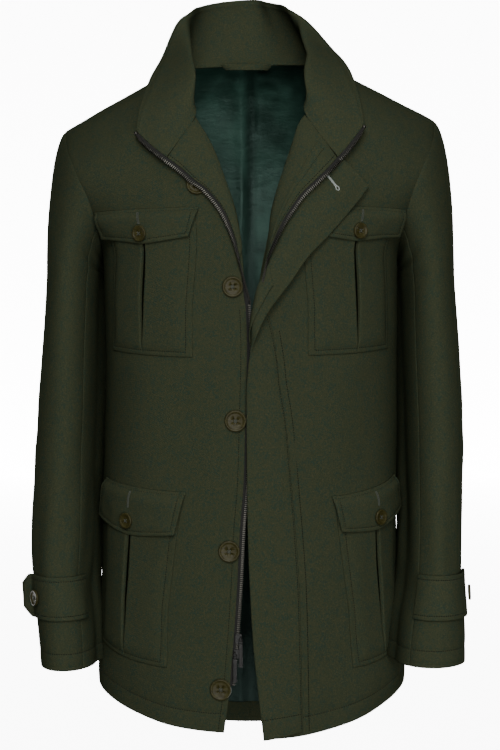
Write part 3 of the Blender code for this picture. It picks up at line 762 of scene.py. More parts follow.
class Nodes:
    """The node tree of one material."""

    def __init__(self, name: str) -> None:
        """Make the material with its shader."""
        self.material = bpy.data.materials.new(name)
        self.material.use_nodes = True
        self.tree = self.material.node_tree
        self.shader = self.tree.nodes["Principled BSDF"]

    def add(self, kind: str, settings: dict[str, object], inputs: dict[str | int, object], out: str | int = 0) -> Sock:
        """Add a node.

        Args:
            kind: type of the node.
            settings: its properties, set first.
            inputs: values or sockets of its inputs.
            out: which output to return.

        Returns:
            That output.
        """
        node = self.tree.nodes.new(kind)
        for key, value in settings.items():
            setattr(node, key, value)
        for key, value in inputs.items():
            self.feed(node.inputs[key], value)
        return Sock(self, node.outputs[out])

    def feed(self, socket: bpy.types.NodeSocket, value: object) -> None:
        """Link a socket, or set its value."""
        if isinstance(value, Sock):
            value = value.value
        if isinstance(value, bpy.types.NodeSocket):
            self.tree.links.new(value, socket)
        else:
            socket.default_value = value

    def place(self, scale: Triple = (1, 1, 1)) -> Sock:
        """Object coordinates, stretched."""
        where = self.add("ShaderNodeTexCoord", {}, {}, "Object")
        return self.add("ShaderNodeMapping", {}, {"Vector": where, "Scale": scale})

    def noise(self, where: Sock, scale: float, detail: float = 2.0, rough: float = 0.5) -> Sock:
        """Noise between 0 and 1."""
        return self.add(
            "ShaderNodeTexNoise", {}, {"Vector": where, "Scale": scale, "Detail": detail, "Roughness": rough}
        )

    def mix(self, share: Sock, low: object, high: object) -> Sock:
        """Blend of two colours."""
        return self.add(
            "ShaderNodeMix", {"data_type": "RGBA"}, {0: share, 6: self.colour(low), 7: self.colour(high)}, 2
        )

    @staticmethod
    def colour(value: object) -> object:
        """A colour with its alpha, or a socket as it is."""
        return (*value, 1) if isinstance(value, tuple) else value

    def bump(self, height: Sock, strength: float, distance: float) -> None:
        """Feed a bump to the shader's normal."""
        self.feed(
            self.shader.inputs["Normal"],
            self.add("ShaderNodeBump", {}, {"Height": height, "Strength": strength, "Distance": distance}),
        )

    def set(self, **values: object) -> None:
        """Set the shader's sockets; an underscore in a name stands for a space."""
        for name, value in values.items():
            self.feed(self.shader.inputs[name.replace("_", " ")], self.colour(value))


def darker(colour: Triple, share: float) -> Triple:
    """A colour times a share, which may be over 1."""
    return tuple(part * share for part in colour)


@dataclass(frozen=True)
class Finish:
    """A finish: the record's slot that it belongs to, and its material, made once."""

    slot: str
    name: str

    def material(self) -> bpy.types.Material:
        """The finish's material."""
        found = bpy.data.materials.get(self.name)
        return found or self.dress(Nodes(self.name))

    def dress(self, nodes: Nodes) -> bpy.types.Material:
        """Fill in a new material."""
        raise NotImplementedError


@dataclass(frozen=True)
class Wool(Finish):
    """Brushed wool: olive ground with teal and tan fibres mixed in, and a soft nap."""

    ground: Triple = (0.0220, 0.0262, 0.0143)
    teal: Triple = (0.0132, 0.0232, 0.0166)
    tan: Triple = (0.0360, 0.0342, 0.0176)
    # brightness of this copy of the wool: above 1 paints it lighter, a painted highlight
    shade: float = 1.0

    def dress(self, nodes: Nodes) -> bpy.types.Material:
        """Mottled colour at three scales, with twill and nap in the bump."""
        where = nodes.place()
        warped = nodes.add(
            "ShaderNodeVectorMath", {"operation": "ADD"},
            {0: where, 1: nodes.add(
                "ShaderNodeVectorMath", {"operation": "SCALE"},
                {0: nodes.add("ShaderNodeTexNoise", {}, {"Vector": where, "Scale": 300.0}, "Color"), "Scale": 0.0016},
            )},
        )
        fleck = nodes.noise(warped, 620, 3, 0.6)
        fibre = nodes.noise(nodes.place((1.0, 1.0, 0.5)), 1100, 2, 0.6)
        cloud = nodes.noise(where, 95, 2, 0.5)
        # a copy whose factor is over 1 is painted lighter, a painted highlight
        tone = [darker(colour, self.shade) for colour in (self.ground, self.teal, self.tan)]
        teal = (fleck * 0.72 + cloud * 0.28).band(0.50, 0.40)
        tan = (fibre * 0.5 + fleck * 0.5).band(0.50, 0.62)
        mixed = nodes.mix(tan * 0.7, nodes.mix(teal * 0.85, tone[0], tone[1]), tone[2])
        dark = nodes.noise(nodes.place((1.3, 1.3, 0.7)), 1300, 1, 0.5).band(0.52, 0.36)
        # painted shade: the attribute darkens the wool almost to black inside the pockets' pleat slits, where shade
        # falls
        fold = nodes.add("ShaderNodeAttribute", {"attribute_name": PAINTED_SHADE}, {}, "Fac")
        cloth = nodes.mix(dark * 0.35, mixed, darker(tone[0], 0.45))
        nodes.set(
            Base_Color=nodes.mix(fold, cloth, darker(tone[0], 0.06)),
            Roughness=0.86 + fleck * 0.12, Specular_IOR_Level=0.0,
        )
        twill = nodes.add(
            "ShaderNodeTexWave", {"wave_type": "BANDS", "bands_direction": "DIAGONAL"},
            {"Vector": where, "Scale": 260.0, "Distortion": 2.5, "Detail": 1.0, "Detail Scale": 3.0},
        )
        nodes.bump(fleck * 0.5 + fibre * 0.35 + twill * 0.18, 0.55, 0.00045)
        return nodes.material


@dataclass(frozen=True)
class Satin(Finish):
    """Satin: dark green, with a sheen that follows its folds and a fine rib."""

    dark: Triple = (0.0062, 0.0160, 0.0118)
    light: Triple = (0.0145, 0.0360, 0.0270)

    def dress(self, nodes: Nodes) -> bpy.types.Material:
        """Slow colour change, partly tone and partly painted sheen, with a fine rib and small wrinkles."""
        where = nodes.place()
        slow = nodes.noise(nodes.place((1, 1, 0.6)), 26, 3, 0.55)
        rib = nodes.add(
            "ShaderNodeTexWave", {"wave_type": "BANDS", "bands_direction": "Z"},
            {"Vector": where, "Scale": 520.0, "Distortion": 1.0, "Detail": 1.0},
        )
        crumple = nodes.noise(nodes.place((1, 1, 1.8)), 62, 3, 0.6)
        # painted shade: the attribute darkens the lining along its pleat, in spots and towards the bottom
        fold = nodes.add("ShaderNodeAttribute", {"attribute_name": PAINTED_SHADE}, {}, "Fac")
        # the slow change from dark to light is partly tone and partly painted sheen: the light colour stands for sheen
        # patches
        satin = nodes.mix(slow.band(0.36, 0.66), self.dark, self.light)
        nodes.set(
            Base_Color=nodes.mix(fold, satin, darker(self.dark, 0.12)),
            Roughness=0.30 + slow * 0.22, Specular_IOR_Level=0.30, Specular_Tint=(0.55, 0.85, 0.74), Anisotropic=0.4,
        )
        nodes.bump(crumple * 0.8 + rib * 0.05, 0.55, 0.0022)
        return nodes.material


@dataclass(frozen=True)
class Horn(Finish):
    """Polished horn: dark olive, clouded and streaked."""

    dark: Triple = (0.0135, 0.0120, 0.0030)
    light: Triple = (0.0260, 0.0235, 0.0068)

    def dress(self, nodes: Nodes) -> bpy.types.Material:
        """Clouds and streaks under a thin polish."""
        cloud = nodes.noise(nodes.place((1, 1, 3)), 150, 4, 0.6)
        streak = nodes.noise(nodes.place((3, 1, 1)), 420, 2, 0.6)
        nodes.set(
            Base_Color=nodes.mix((cloud * 0.7 + streak * 0.3).band(0.36, 0.64), self.dark, self.light),
            Roughness=0.36 + streak * 0.2, Specular_IOR_Level=0.12,
        )
        nodes.bump(streak, 0.2, 0.0002)
        return nodes.material


@dataclass(frozen=True)
class Metal(Finish):
    """Metal with a slight patina; tone is its colour and polish its roughness."""

    tone: Triple = (0.30, 0.29, 0.27)
    polish: float = 0.3

    def dress(self, nodes: Nodes) -> bpy.types.Material:
        """Worn colour and roughness."""
        wear = nodes.noise(nodes.place(), 700, 3, 0.6)
        nodes.set(
            Base_Color=nodes.mix(wear.band(0.35, 0.65), darker(self.tone, 0.55), self.tone),
            Roughness=self.polish - 0.08 + wear * 0.2, Metallic=1.0,
        )
        nodes.bump(wear, 0.15, 0.0001)
        return nodes.material


@dataclass(frozen=True)
class Woven(Finish):
    """Woven tape or sewing thread: one colour with a fine rib at a given scale."""

    tone: Triple = (0.012, 0.012, 0.011)
    rib: float = 900.0

    def dress(self, nodes: Nodes) -> bpy.types.Material:
        """Ribs and a little unevenness."""
        where = nodes.place()
        rib = nodes.add(
            "ShaderNodeTexWave", {"wave_type": "BANDS", "bands_direction": "DIAGONAL"},
            {"Vector": where, "Scale": self.rib, "Distortion": 1.5},
        )
        uneven = nodes.noise(where, 500, 2, 0.6)
        share = rib * 0.5 + uneven * 0.5
        nodes.set(
            Base_Color=nodes.mix(share, darker(self.tone, 0.6), darker(self.tone, 1.3)),
            Roughness=0.75 + uneven * 0.2, Specular_IOR_Level=0.08,
        )
        nodes.bump(rib, 0.4, 0.0003)
        return nodes.material


WOOL = Wool("wool_cloth", "wool_olive")
# a lighter copy of the wool, a painted highlight, for the collar, facings, flaps, tabs, placket, loop and strips
WOOL_PAINTED_LIGHTER = Wool("wool_cloth", "wool_turned_edge", shade=1.04)
SATIN = Satin("satin_lining", "satin_green")
HORN = Horn("horn_button", "horn_olive")
TEETH = Metal("zip_metal", "zip_teeth", tone=(0.052, 0.050, 0.043), polish=0.40)
GUNMETAL = Metal("zip_metal", "gunmetal", tone=(0.014, 0.014, 0.0135), polish=0.30)
TAPE = Woven("zip_tape", "black_tape")
# the stitching thread is near black: partly the thread's own dark olive, partly painted shade that stands for the shade
# in the stitch grooves
THREAD = Woven("wool_cloth", "olive_thread", tone=(0.0035, 0.004, 0.0025), rib=1600.0)
PALE_THREAD = Woven("horn_button", "grey_thread", tone=(0.045, 0.050, 0.041), rib=1600.0)
WHITE_THREAD = Woven("horn_button", "white_thread", tone=(0.24, 0.26, 0.24), rib=1600.0)


# ---------------------------------------------------------------- body panels
AXIS = Vector((0, 0, -300))


def seam_roll(distance: float) -> float:
    """How cloth dips where its edge is sewn to its neighbour."""
    return -0.75 * bell(distance, 2.2)


@dataclass
class Panels:
    """Fronts, backs and lining."""

    form: Form = FORM
    hem_stitch: float = 21.0
    edge_stitch: float = 7.0
    front_wide: float = 215.0
    back_wide: float = 208.0
    tall: float = 770.0
    hem_share: float = 0.68
    flat_zone: float = 26.0
    edges: dict[Side, tuple[Pair, ...]] = field(default_factory=lambda: {
        Side.RIGHT: (
            Pair(-790, 31), Pair(-762, 29), Pair(-725, 24), Pair(-662, 18.5), Pair(-595, 14), Pair(-533, 11),
            Pair(-483, 7), Pair(-397, 4.5), Pair(-327, 3), Pair(-278, 5), Pair(-245, 7), Pair(-222, 9),
            Pair(-194, 12.5), Pair(-170, 18), Pair(-144, 27), Pair(-124, 35), Pair(-99, 46), Pair(-74, 60),
            Pair(-50, 72), Pair(-24, 78), Pair(-2, 80),
        ),
        Side.LEFT: (
            Pair(-790, 28), Pair(-768, 26), Pair(-718, 20), Pair(-667, 14), Pair(-605, 10), Pair(-530, 8),
            Pair(-415, 7), Pair(-352, 10), Pair(-310, 12), Pair(-275, 11), Pair(-245, 12), Pair(-220, 17),
            Pair(-205, 20), Pair(-184, 23), Pair(-166, 27), Pair(-138, 35), Pair(-114, 43), Pair(-86, 53),
            Pair(-74, 60), Pair(-50, 72), Pair(-24, 78), Pair(-2, 80),
        ),
    })

    def edge_x(self, side: Side, z: float) -> float:
        """Distance of the open edge from the middle at a height."""
        return blend(self.edges[side], "key", "value", z)

    def inner_angle(self, side: Side, level: float) -> float:
        """Where the front's open edge lies at a level."""
        angle = 8.0
        for _ in range(6):
            z = self.form.point(side, angle, level).z
            angle = self.form.front_angle(side, self.edge_x(side, z), z, max(level - 1, 0))
        return angle

    def row_level(self, v: float) -> float:
        """Level of a row at a share of the panel's height."""
        if v <= self.hem_share:
            return v / self.hem_share
        return 1 + 0.998 * sin((v - self.hem_share) / (1 - self.hem_share) * pi / 2)

    def front_point(self, side: Side, u: float, v: float) -> Vector:
        """Point of a front: u from the open edge to the side seam or armhole, v from hem to shoulder."""
        level = self.row_level(v)
        inner = self._inner(side, round(level, 6))
        outer = self.form.armhole_angle(level - 1) + 1.4 * step(1.0, 1.08, level) if level > 1 else 90.0
        away = u * self.front_wide
        z = self.form.point(side, inner, level).z
        rise = max(level - 1, 0)
        near = self.form.half_width(side, z, rise) * sin(radians(inner)) ** (2 / self.form.squareness)
        if away <= self.flat_zone:
            angle = self.form.front_angle(side, near + away, z, rise)
        else:
            start = self.form.front_angle(side, near + self.flat_zone, z, rise)
            angle = start + (outer - start) * (away - self.flat_zone) / (self.front_wide - self.flat_zone)
        point = self.form.cloth(side, min(angle, outer), level)
        point.y -= 0.5 * max(level - 1, 0) ** 8
        return point

    @lru_cache(maxsize=4096)
    def _inner(self, side: Side, level: float) -> float:
        """Cached inner angle."""
        return self.inner_angle(side, level)

    def __hash__(self) -> int:
        """By identity, so that methods can be cached."""
        return id(self)

    def rows(self) -> list[float]:
        """Grid lines from hem to shoulder."""
        return lines(self.tall, 9, (self.hem_stitch,))

    def front(self, side: Side) -> Sheet:
        """One front."""

        def relief(u: float, v: float) -> float:
            """Height over the placed cloth."""
            away, up = u * self.front_wide, v * self.tall
            height = groove(up, self.hem_stitch, 0.8) + seam_roll(self.front_wide - away) + seam_roll(self.tall - up)
            if side is Side.RIGHT:
                height += groove(away, self.edge_stitch, 0.8) * (1 - step(0.58, 0.62, v))
            return height

        marks = (self.edge_stitch,) if side is Side.RIGHT else ()
        sheet = Sheet(
            f"front_{side.word}", lines(self.front_wide, 8, marks), self.rows(),
            lambda u, v: self.front_point(side, u, v), AXIS, 1.6, relief,
        )
        sheet.build(WOOL, "hung", f"back_{side.word}")
        return sheet

    def back_point(self, side: Side, u: float, v: float) -> Vector:
        """Point of a back: u from the side seam to the centre seam, v from hem to shoulder."""
        level = self.row_level(v)
        outer = 180 - self.form.armhole_angle(level - 1) - 1.4 * step(1.0, 1.08, level) if level > 1 else 90.0
        angle = outer + (179.98 - outer) * u
        x = abs(self.form.point(side, angle, level).x)
        if level > 1:
            level = 1 + (self.form.neck_level(side, x) - 1) * (level - 1) / 0.998
        point = self.form.cloth(side, angle, level)
        point.y += 0.5 * max(level - 1, 0) ** 8
        point.x -= side.value * 1.3 * step(self.back_wide - 5, self.back_wide, u * self.back_wide)
        return point

    def back(self, side: Side) -> Sheet:
        """One half of the back."""

        def relief(u: float, v: float) -> float:
            """Height over the placed cloth."""
            away, up = u * self.back_wide, v * self.tall
            height = groove(up, self.hem_stitch, 0.8) + groove(self.back_wide - away, 6.0, 0.35)
            return height + seam_roll(away) + seam_roll(self.back_wide - away) + seam_roll(self.tall - up)

        sheet = Sheet(
            f"back_{side.word}", lines(self.back_wide, 8, (self.back_wide - 6,)), self.rows(),
            lambda u, v: self.back_point(side, u, v), AXIS, 1.6, relief,
        )
        sheet.build(WOOL, "hung", "collar")
        return sheet

    def lining(self) -> None:
        """The back lining, with a centre pleat and the puckers beside it."""
        start, wide, tall, hem = 95.0, 400.0, 765.0, 0.045

        def place(u: float, v: float) -> Vector:
            """Point of the piece for two shares."""
            side = Side.LEFT if u >= 0.5 else Side.RIGHT
            share = 1 - abs(2 * u - 1)
            angle = start + (179.95 - start) * share
            if v <= 0.66:
                level = hem + (1.0 - hem) * v / 0.66
            else:
                level = 1 + 0.9 * sin((v - 0.66) / 0.34 * pi / 2)
                outer = 180 - self.form.armhole_angle(level - 1)
                angle = outer + 6 + (179.95 - outer - 6) * share
                x = abs(self.form.point(side, angle, level).x)
                level = 1 + (level - 1) / 0.9 * (self.form.neck_level(side, x) - 1.002)
            return self.form.cloth(side, angle, level, -6.0)

        def relief(u: float, v: float) -> float:
            """Height over the placed cloth."""
            x, up = (u - 0.5) * wide, v * tall
            pleat = 3.2 * bell(x + 5, 3.0) - 1.6 * bell(x - 1, 2.4)
            pleat -= 0.9 * bell(x - 7, 2.0)
            near = bell(x - 16, 26)
            pucker = waver(x / 20, up / 9, 3.1) + 0.6 * waver(x / 9, up / 5, 8.4)
            slow = waver(x / 34, up / 46, 1.7) + 0.5 * waver(x / 15, up / 26, 5.2)
            low = 1 - step(0.3, 0.55, v)
            drag = waver((x + up * 0.6) / 16, (up - x * 0.6) / 60, 2.2)
            creases = 0.9 * near * pucker + 1.5 * slow + 1.3 * low * drag
            return 2.4 - pleat * 0.8 - creases * (1 - step(tall - 18, tall, up))

        def dark(u: float, v: float) -> float:
            """Painted shade: how much the lining is darkened along the pleat, in spots beside it and towards the
            bottom.
            """
            x, up = (u - 0.5) * wide, v * tall
            # painted shade: a dark line beside the pleat, and dark spots beside it where small wrinkles lie in shade
            line = 0.75 * bell(x - 0.5, 2.2)
            spots = step(0.10, 0.42, waver(3.3, up / 17, 0.7)) * bell(x - 6, 6)
            # painted shade, darker towards the bottom
            low = 0.75 * (1 - step(40, 150, up)) + 0.35 * (1 - step(0.25, 0.5, v))
            return min(max(line, spots) + low, 0.92)

        sheet = Sheet(
            "lining_back", lines(wide, 6, (wide / 2 - 5, wide / 2 + 1, wide / 2 + 6)), lines(tall, 7), place,
            AXIS, 0.8, relief, dark,
        )
        sheet.build(SATIN, "hung", "back_left", "back_right")

    def build(self) -> None:
        """Build the panels and their stitching."""
        needle = Needle("stitches_body")
        for side in Side:
            front, back = self.front(side), self.back(side)
            hem = self.hem_stitch / self.tall
            needle.sew(front, [(0.02, hem), (0.3, hem), (0.65, hem), (0.99, hem)])
            needle.sew(back, [(0.01, hem), (0.3, hem), (0.65, hem), (0.99, hem)])
            seam = 1 - 6.0 / self.back_wide
            needle.sew(back, [(seam, n / 20) for n in range(21)])
            if side is Side.RIGHT:
                edge = self.edge_stitch / self.front_wide
                needle.sew(front, [(edge, 0.6 * n / 14) for n in range(15)])
        needle.build(THREAD)
        self.lining()


# ---------------------------------------------------------------- sleeves
@dataclass
class Sleeves:
    """Two-piece sleeves and their buttoned tabs."""

    form: Form = FORM
    cap_share: float = 0.3
    seams: Point = (-105.0, 132.0)
    hem_stitch: float = 19.0
    long: float = 640.0
    tubes: dict[Side, tuple[Tube, ...]] = field(default_factory=lambda: {
        Side.RIGHT: (
            Tube(-250, 208, 10, 31, 78), Tube(-330, 211.5, 2, 31.5, 76), Tube(-440, 215, -14, 34, 71),
            Tube(-540, 217.5, -34, 35, 64), Tube(-600, 216, -52, 33, 60), Tube(-650, 211, -64, 32, 56),
            Tube(-692, 208, -72, 31, 53),
        ),
        Side.LEFT: (
            Tube(-250, 208.5, 10, 31.5, 78), Tube(-330, 212, 2, 32, 76), Tube(-420, 215, -16, 33, 71),
            Tube(-540, 212.5, -54, 31, 62), Tube(-595, 209.5, -76, 32.5, 56), Tube(-640, 205.5, -94, 36.5, 52),
            Tube(-682, 202, -106, 38.5, 49),
        ),
    })
    tab_button: dict[Side, float] = field(default_factory=lambda: {Side.RIGHT: 48.0, Side.LEFT: 14.0})
    tab_z: dict[Side, Point] = field(
        default_factory=lambda: {Side.RIGHT: (-589.0, -637.0), Side.LEFT: (-584.0, -632.0)}
    )
    tab_span: dict[Side, Point] = field(
        default_factory=lambda: {Side.RIGHT: (150.0, 30.0), Side.LEFT: (132.0, 0.0)}
    )
    tab_tip: float = 15.0
    tab_out: float = 3.2

    def armhole(self, side: Side, turn: float) -> Vector:
        """Point of the armhole's edge; turn 0 is the shoulder, 90 the front, 180 the armpit, 270 the back."""
        rise = min(max((1 + cos(radians(turn))) / 2, 0), 0.999)
        angle = self.form.armhole_angle(rise)
        point = self.form.point(side, angle if turn % 360 <= 180 else 180 - angle, 1 + rise)
        point.x += side.value * 0.15 * (2 - cos(radians(turn)))
        return point

    def ring(self, side: Side, turn: float, z: float) -> Vector:
        """Point of the sleeve's ring at a height."""
        tube = self.tubes[side][::-1]
        x, y, wide, deep = (blend(tube, "z", column, z) for column in ("x", "y", "wide", "deep"))
        # the back of the sleeve hangs in behind the body's side
        tuck = 26 * max(-sin(radians(turn)), 0)
        return Vector((side.value * (x + wide * cos(radians(turn)) - tuck), y - deep * sin(radians(turn)), z))

    def point(self, side: Side, turn: float, s: float) -> Vector:
        """Point of a sleeve; s is 0 at the armhole and 1 at the cuff."""
        top, cuff = self.tubes[side][0].z, self.tubes[side][-1].z
        if s > self.cap_share:
            return self.ring(side, turn, top + (cuff - top) * (s - self.cap_share) / (1 - self.cap_share))
        start, end = self.armhole(side, turn), self.ring(side, turn, top)
        far = (end - start).length
        leave = start + Vector((side.value * 0.1, 0, -0.09)) * far
        arrive = end + Vector((0, 0, 0.34 * far))
        t = s / self.cap_share
        return start * (1 - t) ** 3 + leave * (3 * t * (1 - t) ** 2) + arrive * (3 * t * t * (1 - t)) + end * t**3

    def outward(self, side: Side, turn: float, s: float) -> Vector:
        """Unit normal that points out of the sleeve."""
        around = self.point(side, turn + 1, s) - self.point(side, turn - 1, s)
        down = self.point(side, turn, min(s + 0.01, 1)) - self.point(side, turn, max(s - 0.01, 0))
        return down.cross(around).normalized() * -side.value

    def crease(self, side: Side, turn: float, s: float) -> float:
        """Folds of a sleeve that hangs with its elbow a little bent, in millimetres out."""
        a, key = radians(turn), float(side.value)
        slow = 1.1 * waver(cos(a) * 1.1 + key, sin(a) * 1.1, s * 5.5)
        slow += 0.5 * waver(cos(a) * 2.4, sin(a) * 2.4 + key, s * 13)
        elbow = bell(s - 0.60, 0.10) * max(cos(a - radians(300)), 0)
        drag = 1.8 * elbow * sin(s * 62 + a * 2.1)
        under = 1.3 * bell(s - 0.24, 0.12) * max(cos(a - radians(165)), 0) * sin(s * 48 - a * 2)
        cuff = 0.9 * step(0.62, 0.74, s) * (1 - step(0.82, 0.86, s)) * sin(a * 7 + key * 2 + s * 9)
        waist = -1.3 * bell(s - 0.865, 0.035)
        low = 0.7 * step(0.90, 0.97, s) * sin(a * 3 + key)
        return (slow + drag + under + cuff + waist + low) * step(0.03, 0.2, s)

    def cloth(self, side: Side, turn: float, s: float, out: float = 0.0) -> Vector:
        """Point of the sleeve's cloth, moved out."""
        away = out + self.crease(side, turn, s)
        return self.point(side, turn, s) + self.outward(side, turn, s) * away

    def share(self, side: Side, z: float) -> float:
        """The s of a height below the cap."""
        top, cuff = self.tubes[side][0].z, self.tubes[side][-1].z
        return self.cap_share + (1 - self.cap_share) * (z - top) / (cuff - top)

    def sleeve(self, side: Side, needle: Needle) -> None:
        """Both pieces of a sleeve and the row of stitching at its cuff."""
        first, last = self.seams
        inside = Vector((side.value * 212, -20, -400))
        for stem, start, end, wide in (("top", first, last, 240.0), ("under", last, first + 360, 130.0)):
            lap = 0.1  # degrees by which the two pieces lap at each seam

            def place(u: float, v: float) -> Vector:
                """Point of the piece for two shares."""
                return self.cloth(side, start - lap + (end - start + 2 * lap) * u, v)

            def relief(u: float, v: float) -> float:
                """Height over the placed cloth."""
                height = groove((1 - v) * self.long, self.hem_stitch, 0.8)
                return height + seam_roll(u * wide) + seam_roll((1 - u) * wide) + seam_roll(v * self.long)

            sheet = Sheet(
                f"sleeve_{stem}_{side.word}", lines(wide, 8), lines(self.long, 8, (self.long - self.hem_stitch,)),
                place, inside, 1.6, relief,
            )
            sheet.build(WOOL, "hung", f"back_{side.word}")
            row = 1 - self.hem_stitch / self.long
            needle.sew(sheet, [(0.01 + 0.98 * n / 8, row) for n in range(9)])

    def tab(self, side: Side, needle: Needle) -> None:
        """Strap round the front of the sleeve, its point standing on past the round of the sleeve."""
        high, low = self.tab_z[side]
        start, end = self.tab_span[side]
        wide, tall = 150.0, high - low

        def place(u: float, v: float) -> Vector:
            """Point of the piece for two shares."""
            turn = start + (end - start) * min(u / 0.8, 1)
            narrow = 1 - 0.45 * max(u - 0.86, 0) / 0.14
            z = (high + low) / 2 + (high - low) * (0.5 - v) * narrow
            s = self.share(side, z)
            sewn = step(0, 0.10, u)
            out = 1.9 + (self.tab_out - 1.9) * sewn + 0.8 * sewn * waver(u * 5, v, side.value)
            point = self.point(side, turn, s) + self.outward(side, turn, s) * (out + self.crease(side, turn, s) * 0.6)
            if u > 0.8:
                ahead = (self.point(side, end - 2, s) - self.point(side, end, s)).normalized()
                ahead = (ahead + Vector((side.value * (1.6 if side is Side.RIGHT else 0.3), 0, 0))).normalized()
                point += ahead * self.tab_tip * (u - 0.8) / 0.2
            return point

        def relief(u: float, v: float) -> float:
            """Height over the placed cloth."""
            away = min(v, 1 - v) * tall, (1 - u) * wide
            return max(groove(away[0], 5, 0.45), -0.45) + groove(away[1], 5, 0.3) - 0.4 * bell(away[0], 1.4)

        sheet = Sheet(
            f"tab_{side.word}", lines(wide, 5, (wide - 5,)), lines(tall, 5, (5, tall - 5)), place,
            Vector((side.value * 212, -20, (high + low) / 2)), 2.0, relief,
        )
        sheet.build(WOOL_PAINTED_LIGHTER, "laid", f"sleeve_top_{side.word}")
        rim, end_u = 5 / tall, 1 - 6 / wide
        needle.sew(sheet, [(0.02, rim), (0.4, rim), (end_u, rim), (end_u, 1 - rim), (0.4, 1 - rim), (0.02, 1 - rim)])

    def build(self, buttons: "Buttons") -> None:
        """Build sleeves, tabs and their buttons."""
        needle = Needle("stitches_sleeves")
        for side in Side:
            self.sleeve(side, needle)
            self.tab(side, needle)
            s, turn = self.share(side, sum(self.tab_z[side]) / 2), self.tab_button[side]
            place = self.point(side, turn, s) + self.outward(side, turn, s) * (self.tab_out + 1.7)
            buttons.put(f"button_tab_{side.word}", place, self.outward(side, turn, s), 9.0)
        needle.build(THREAD)


# ---------------------------------------------------------------- collar, facings and placket
@dataclass
class Collar:
    """Stand collar with the tops of the zipped edges at its corners, and the hanger loop inside it."""

    form: Form = FORM
    long: float = 520.0
    lean: float = 0.40
    tall: float = 80.0
    stitch: float = 6.0
    rows: tuple[CollarRow, ...] = (
        CollarRow(0.00, (0, 52, 9), (0, 65, 48), (0, 64, 84)),
        CollarRow(0.14, (31, 47, 9), (34, 59, 47), (35, 58, 81)),
        CollarRow(0.28, (58, 34, 6), (60, 40, 41), (58, 37, 73)),
        CollarRow(0.42, (79, 12, 1), (74, 12, 31), (68, 9, 64)),
        CollarRow(0.55, (79.8, -20, -3.5), (70, -26, 24), (86, -8, 43)),
        CollarRow(0.67, (76.8, -53, -21), (68, -58, 2), (102, -18, 5)),
        CollarRow(0.78, (71.5, -81, -46), (66, -86, -26), (115, -44, -21)),
        CollarRow(0.89, (61, -97, -71), (86, -99, -64), (124, -80, -58)),
        CollarRow(1.00, (92, -119, -118), (110, -110, -103), (127, -97, -86)),
    )

    def point(self, u: float, v: float) -> Vector:
        """Point of the collar; u is -1 at the right corner and 1 at the left one, v runs from seam to free edge."""
        side = Side.LEFT if u >= 0 else Side.RIGHT
        rows = [
            CollarRow(-row.along, *[(-p[0], p[1], p[2]) for p in row[1:]]) for row in self.rows[:0:-1]
        ] + list(self.rows)
        base, middle, free = (blend(rows, "along", column, u) for column in ("base", "middle", "free"))
        point = through(base, middle, free, v)
        point.z += side.value * self.form.tilt * abs(point.x)
        if side is Side.LEFT:
            point.x -= self.lean * max(point.z, 0) * min(point.x / 50, 1)
            point += Vector((5, 0, -5)) * step(0.88, 1.0, u) * (1 - v)
        return point

    def tuck(self, u: float) -> float:
        """How far the collar reaches down inside the back of the neck, as a share of its height."""
        return 0.10 * (1 - step(0.42, 0.56, abs(u)))

    def ripple(self, u: float, v: float) -> float:
        """Soft creases of the collar, in millimetres."""
        slow = 1.5 * waver(u * 4.2, v * 0.8, 3.3) + 0.5 * waver(u * 11, v * 2, 6.1)
        crease = -1.6 * bell(u - 0.40 - 0.06 * v, 0.030) * step(0.1, 0.4, v)
        crease += -1.4 * bell(u + 0.46 + 0.05 * v, 0.030) * step(0.2, 0.5, v)
        return (slow + crease) * step(0, 0.25, v) * (1 - step(0.93, 1.0, abs(u)))

    def build(self) -> None:
        """Build the collar and its edge stitching."""
        def relief(u: float, v: float) -> float:
            """Height over the placed cloth."""
            up = (1 - v) * self.tall
            height = groove(up, self.stitch, 0.8) + seam_roll(v * self.tall) - 0.4 * bell(up, 1.4)
            return height + self.ripple(2 * u - 1, v)

        sheet = Sheet(
            "collar", lines(self.long, 6), lines(self.tall, 6, (self.tall - self.stitch,)),
            lambda u, v: self.point(2 * u - 1, v - self.tuck(2 * u - 1) * (1 - v)), Vector((0, 0, 20)), 2.6, relief,
        )
        sheet.build(WOOL_PAINTED_LIGHTER, "draped", "back_left", "back_right")
        needle = Needle("stitches_collar")
        row = 1 - self.stitch / self.tall
        needle.sew(sheet, [(0.015 + 0.97 * n / 24, row) for n in range(25)])
        needle.build(THREAD)

    def hanger_loop(self) -> None:
        """Cloth loop across the inside of the neck."""

        def place(u: float, v: float) -> Vector:
            """Point of the piece for two shares."""
            x = -4.0 + (2 * u - 1) * 32.0 * (0.78 + 0.22 * v)
            bow = 9.0 * (1 - (2 * u - 1) ** 4)
            return Vector((x, 47.0 - x * x / 200 - bow * 0.8, -4.0 + 7.5 * v))

        def relief(u: float, v: float) -> float:
            """Height over the placed cloth."""
            return groove(v * 7, 1.4, 0.25, 0.6) + groove(v * 7, 5.6, 0.25, 0.6)

        sheet = Sheet(
            "hanger_loop", lines(64, 3), lines(7, 1.2), place, Vector((-4, 90, 4)), 1.5, relief,
        )
        sheet.build(WOOL_PAINTED_LIGHTER, "hung", "collar")


BEHIND = Vector((0, 60, -150))  # inside the neck, for the turned-back fronts


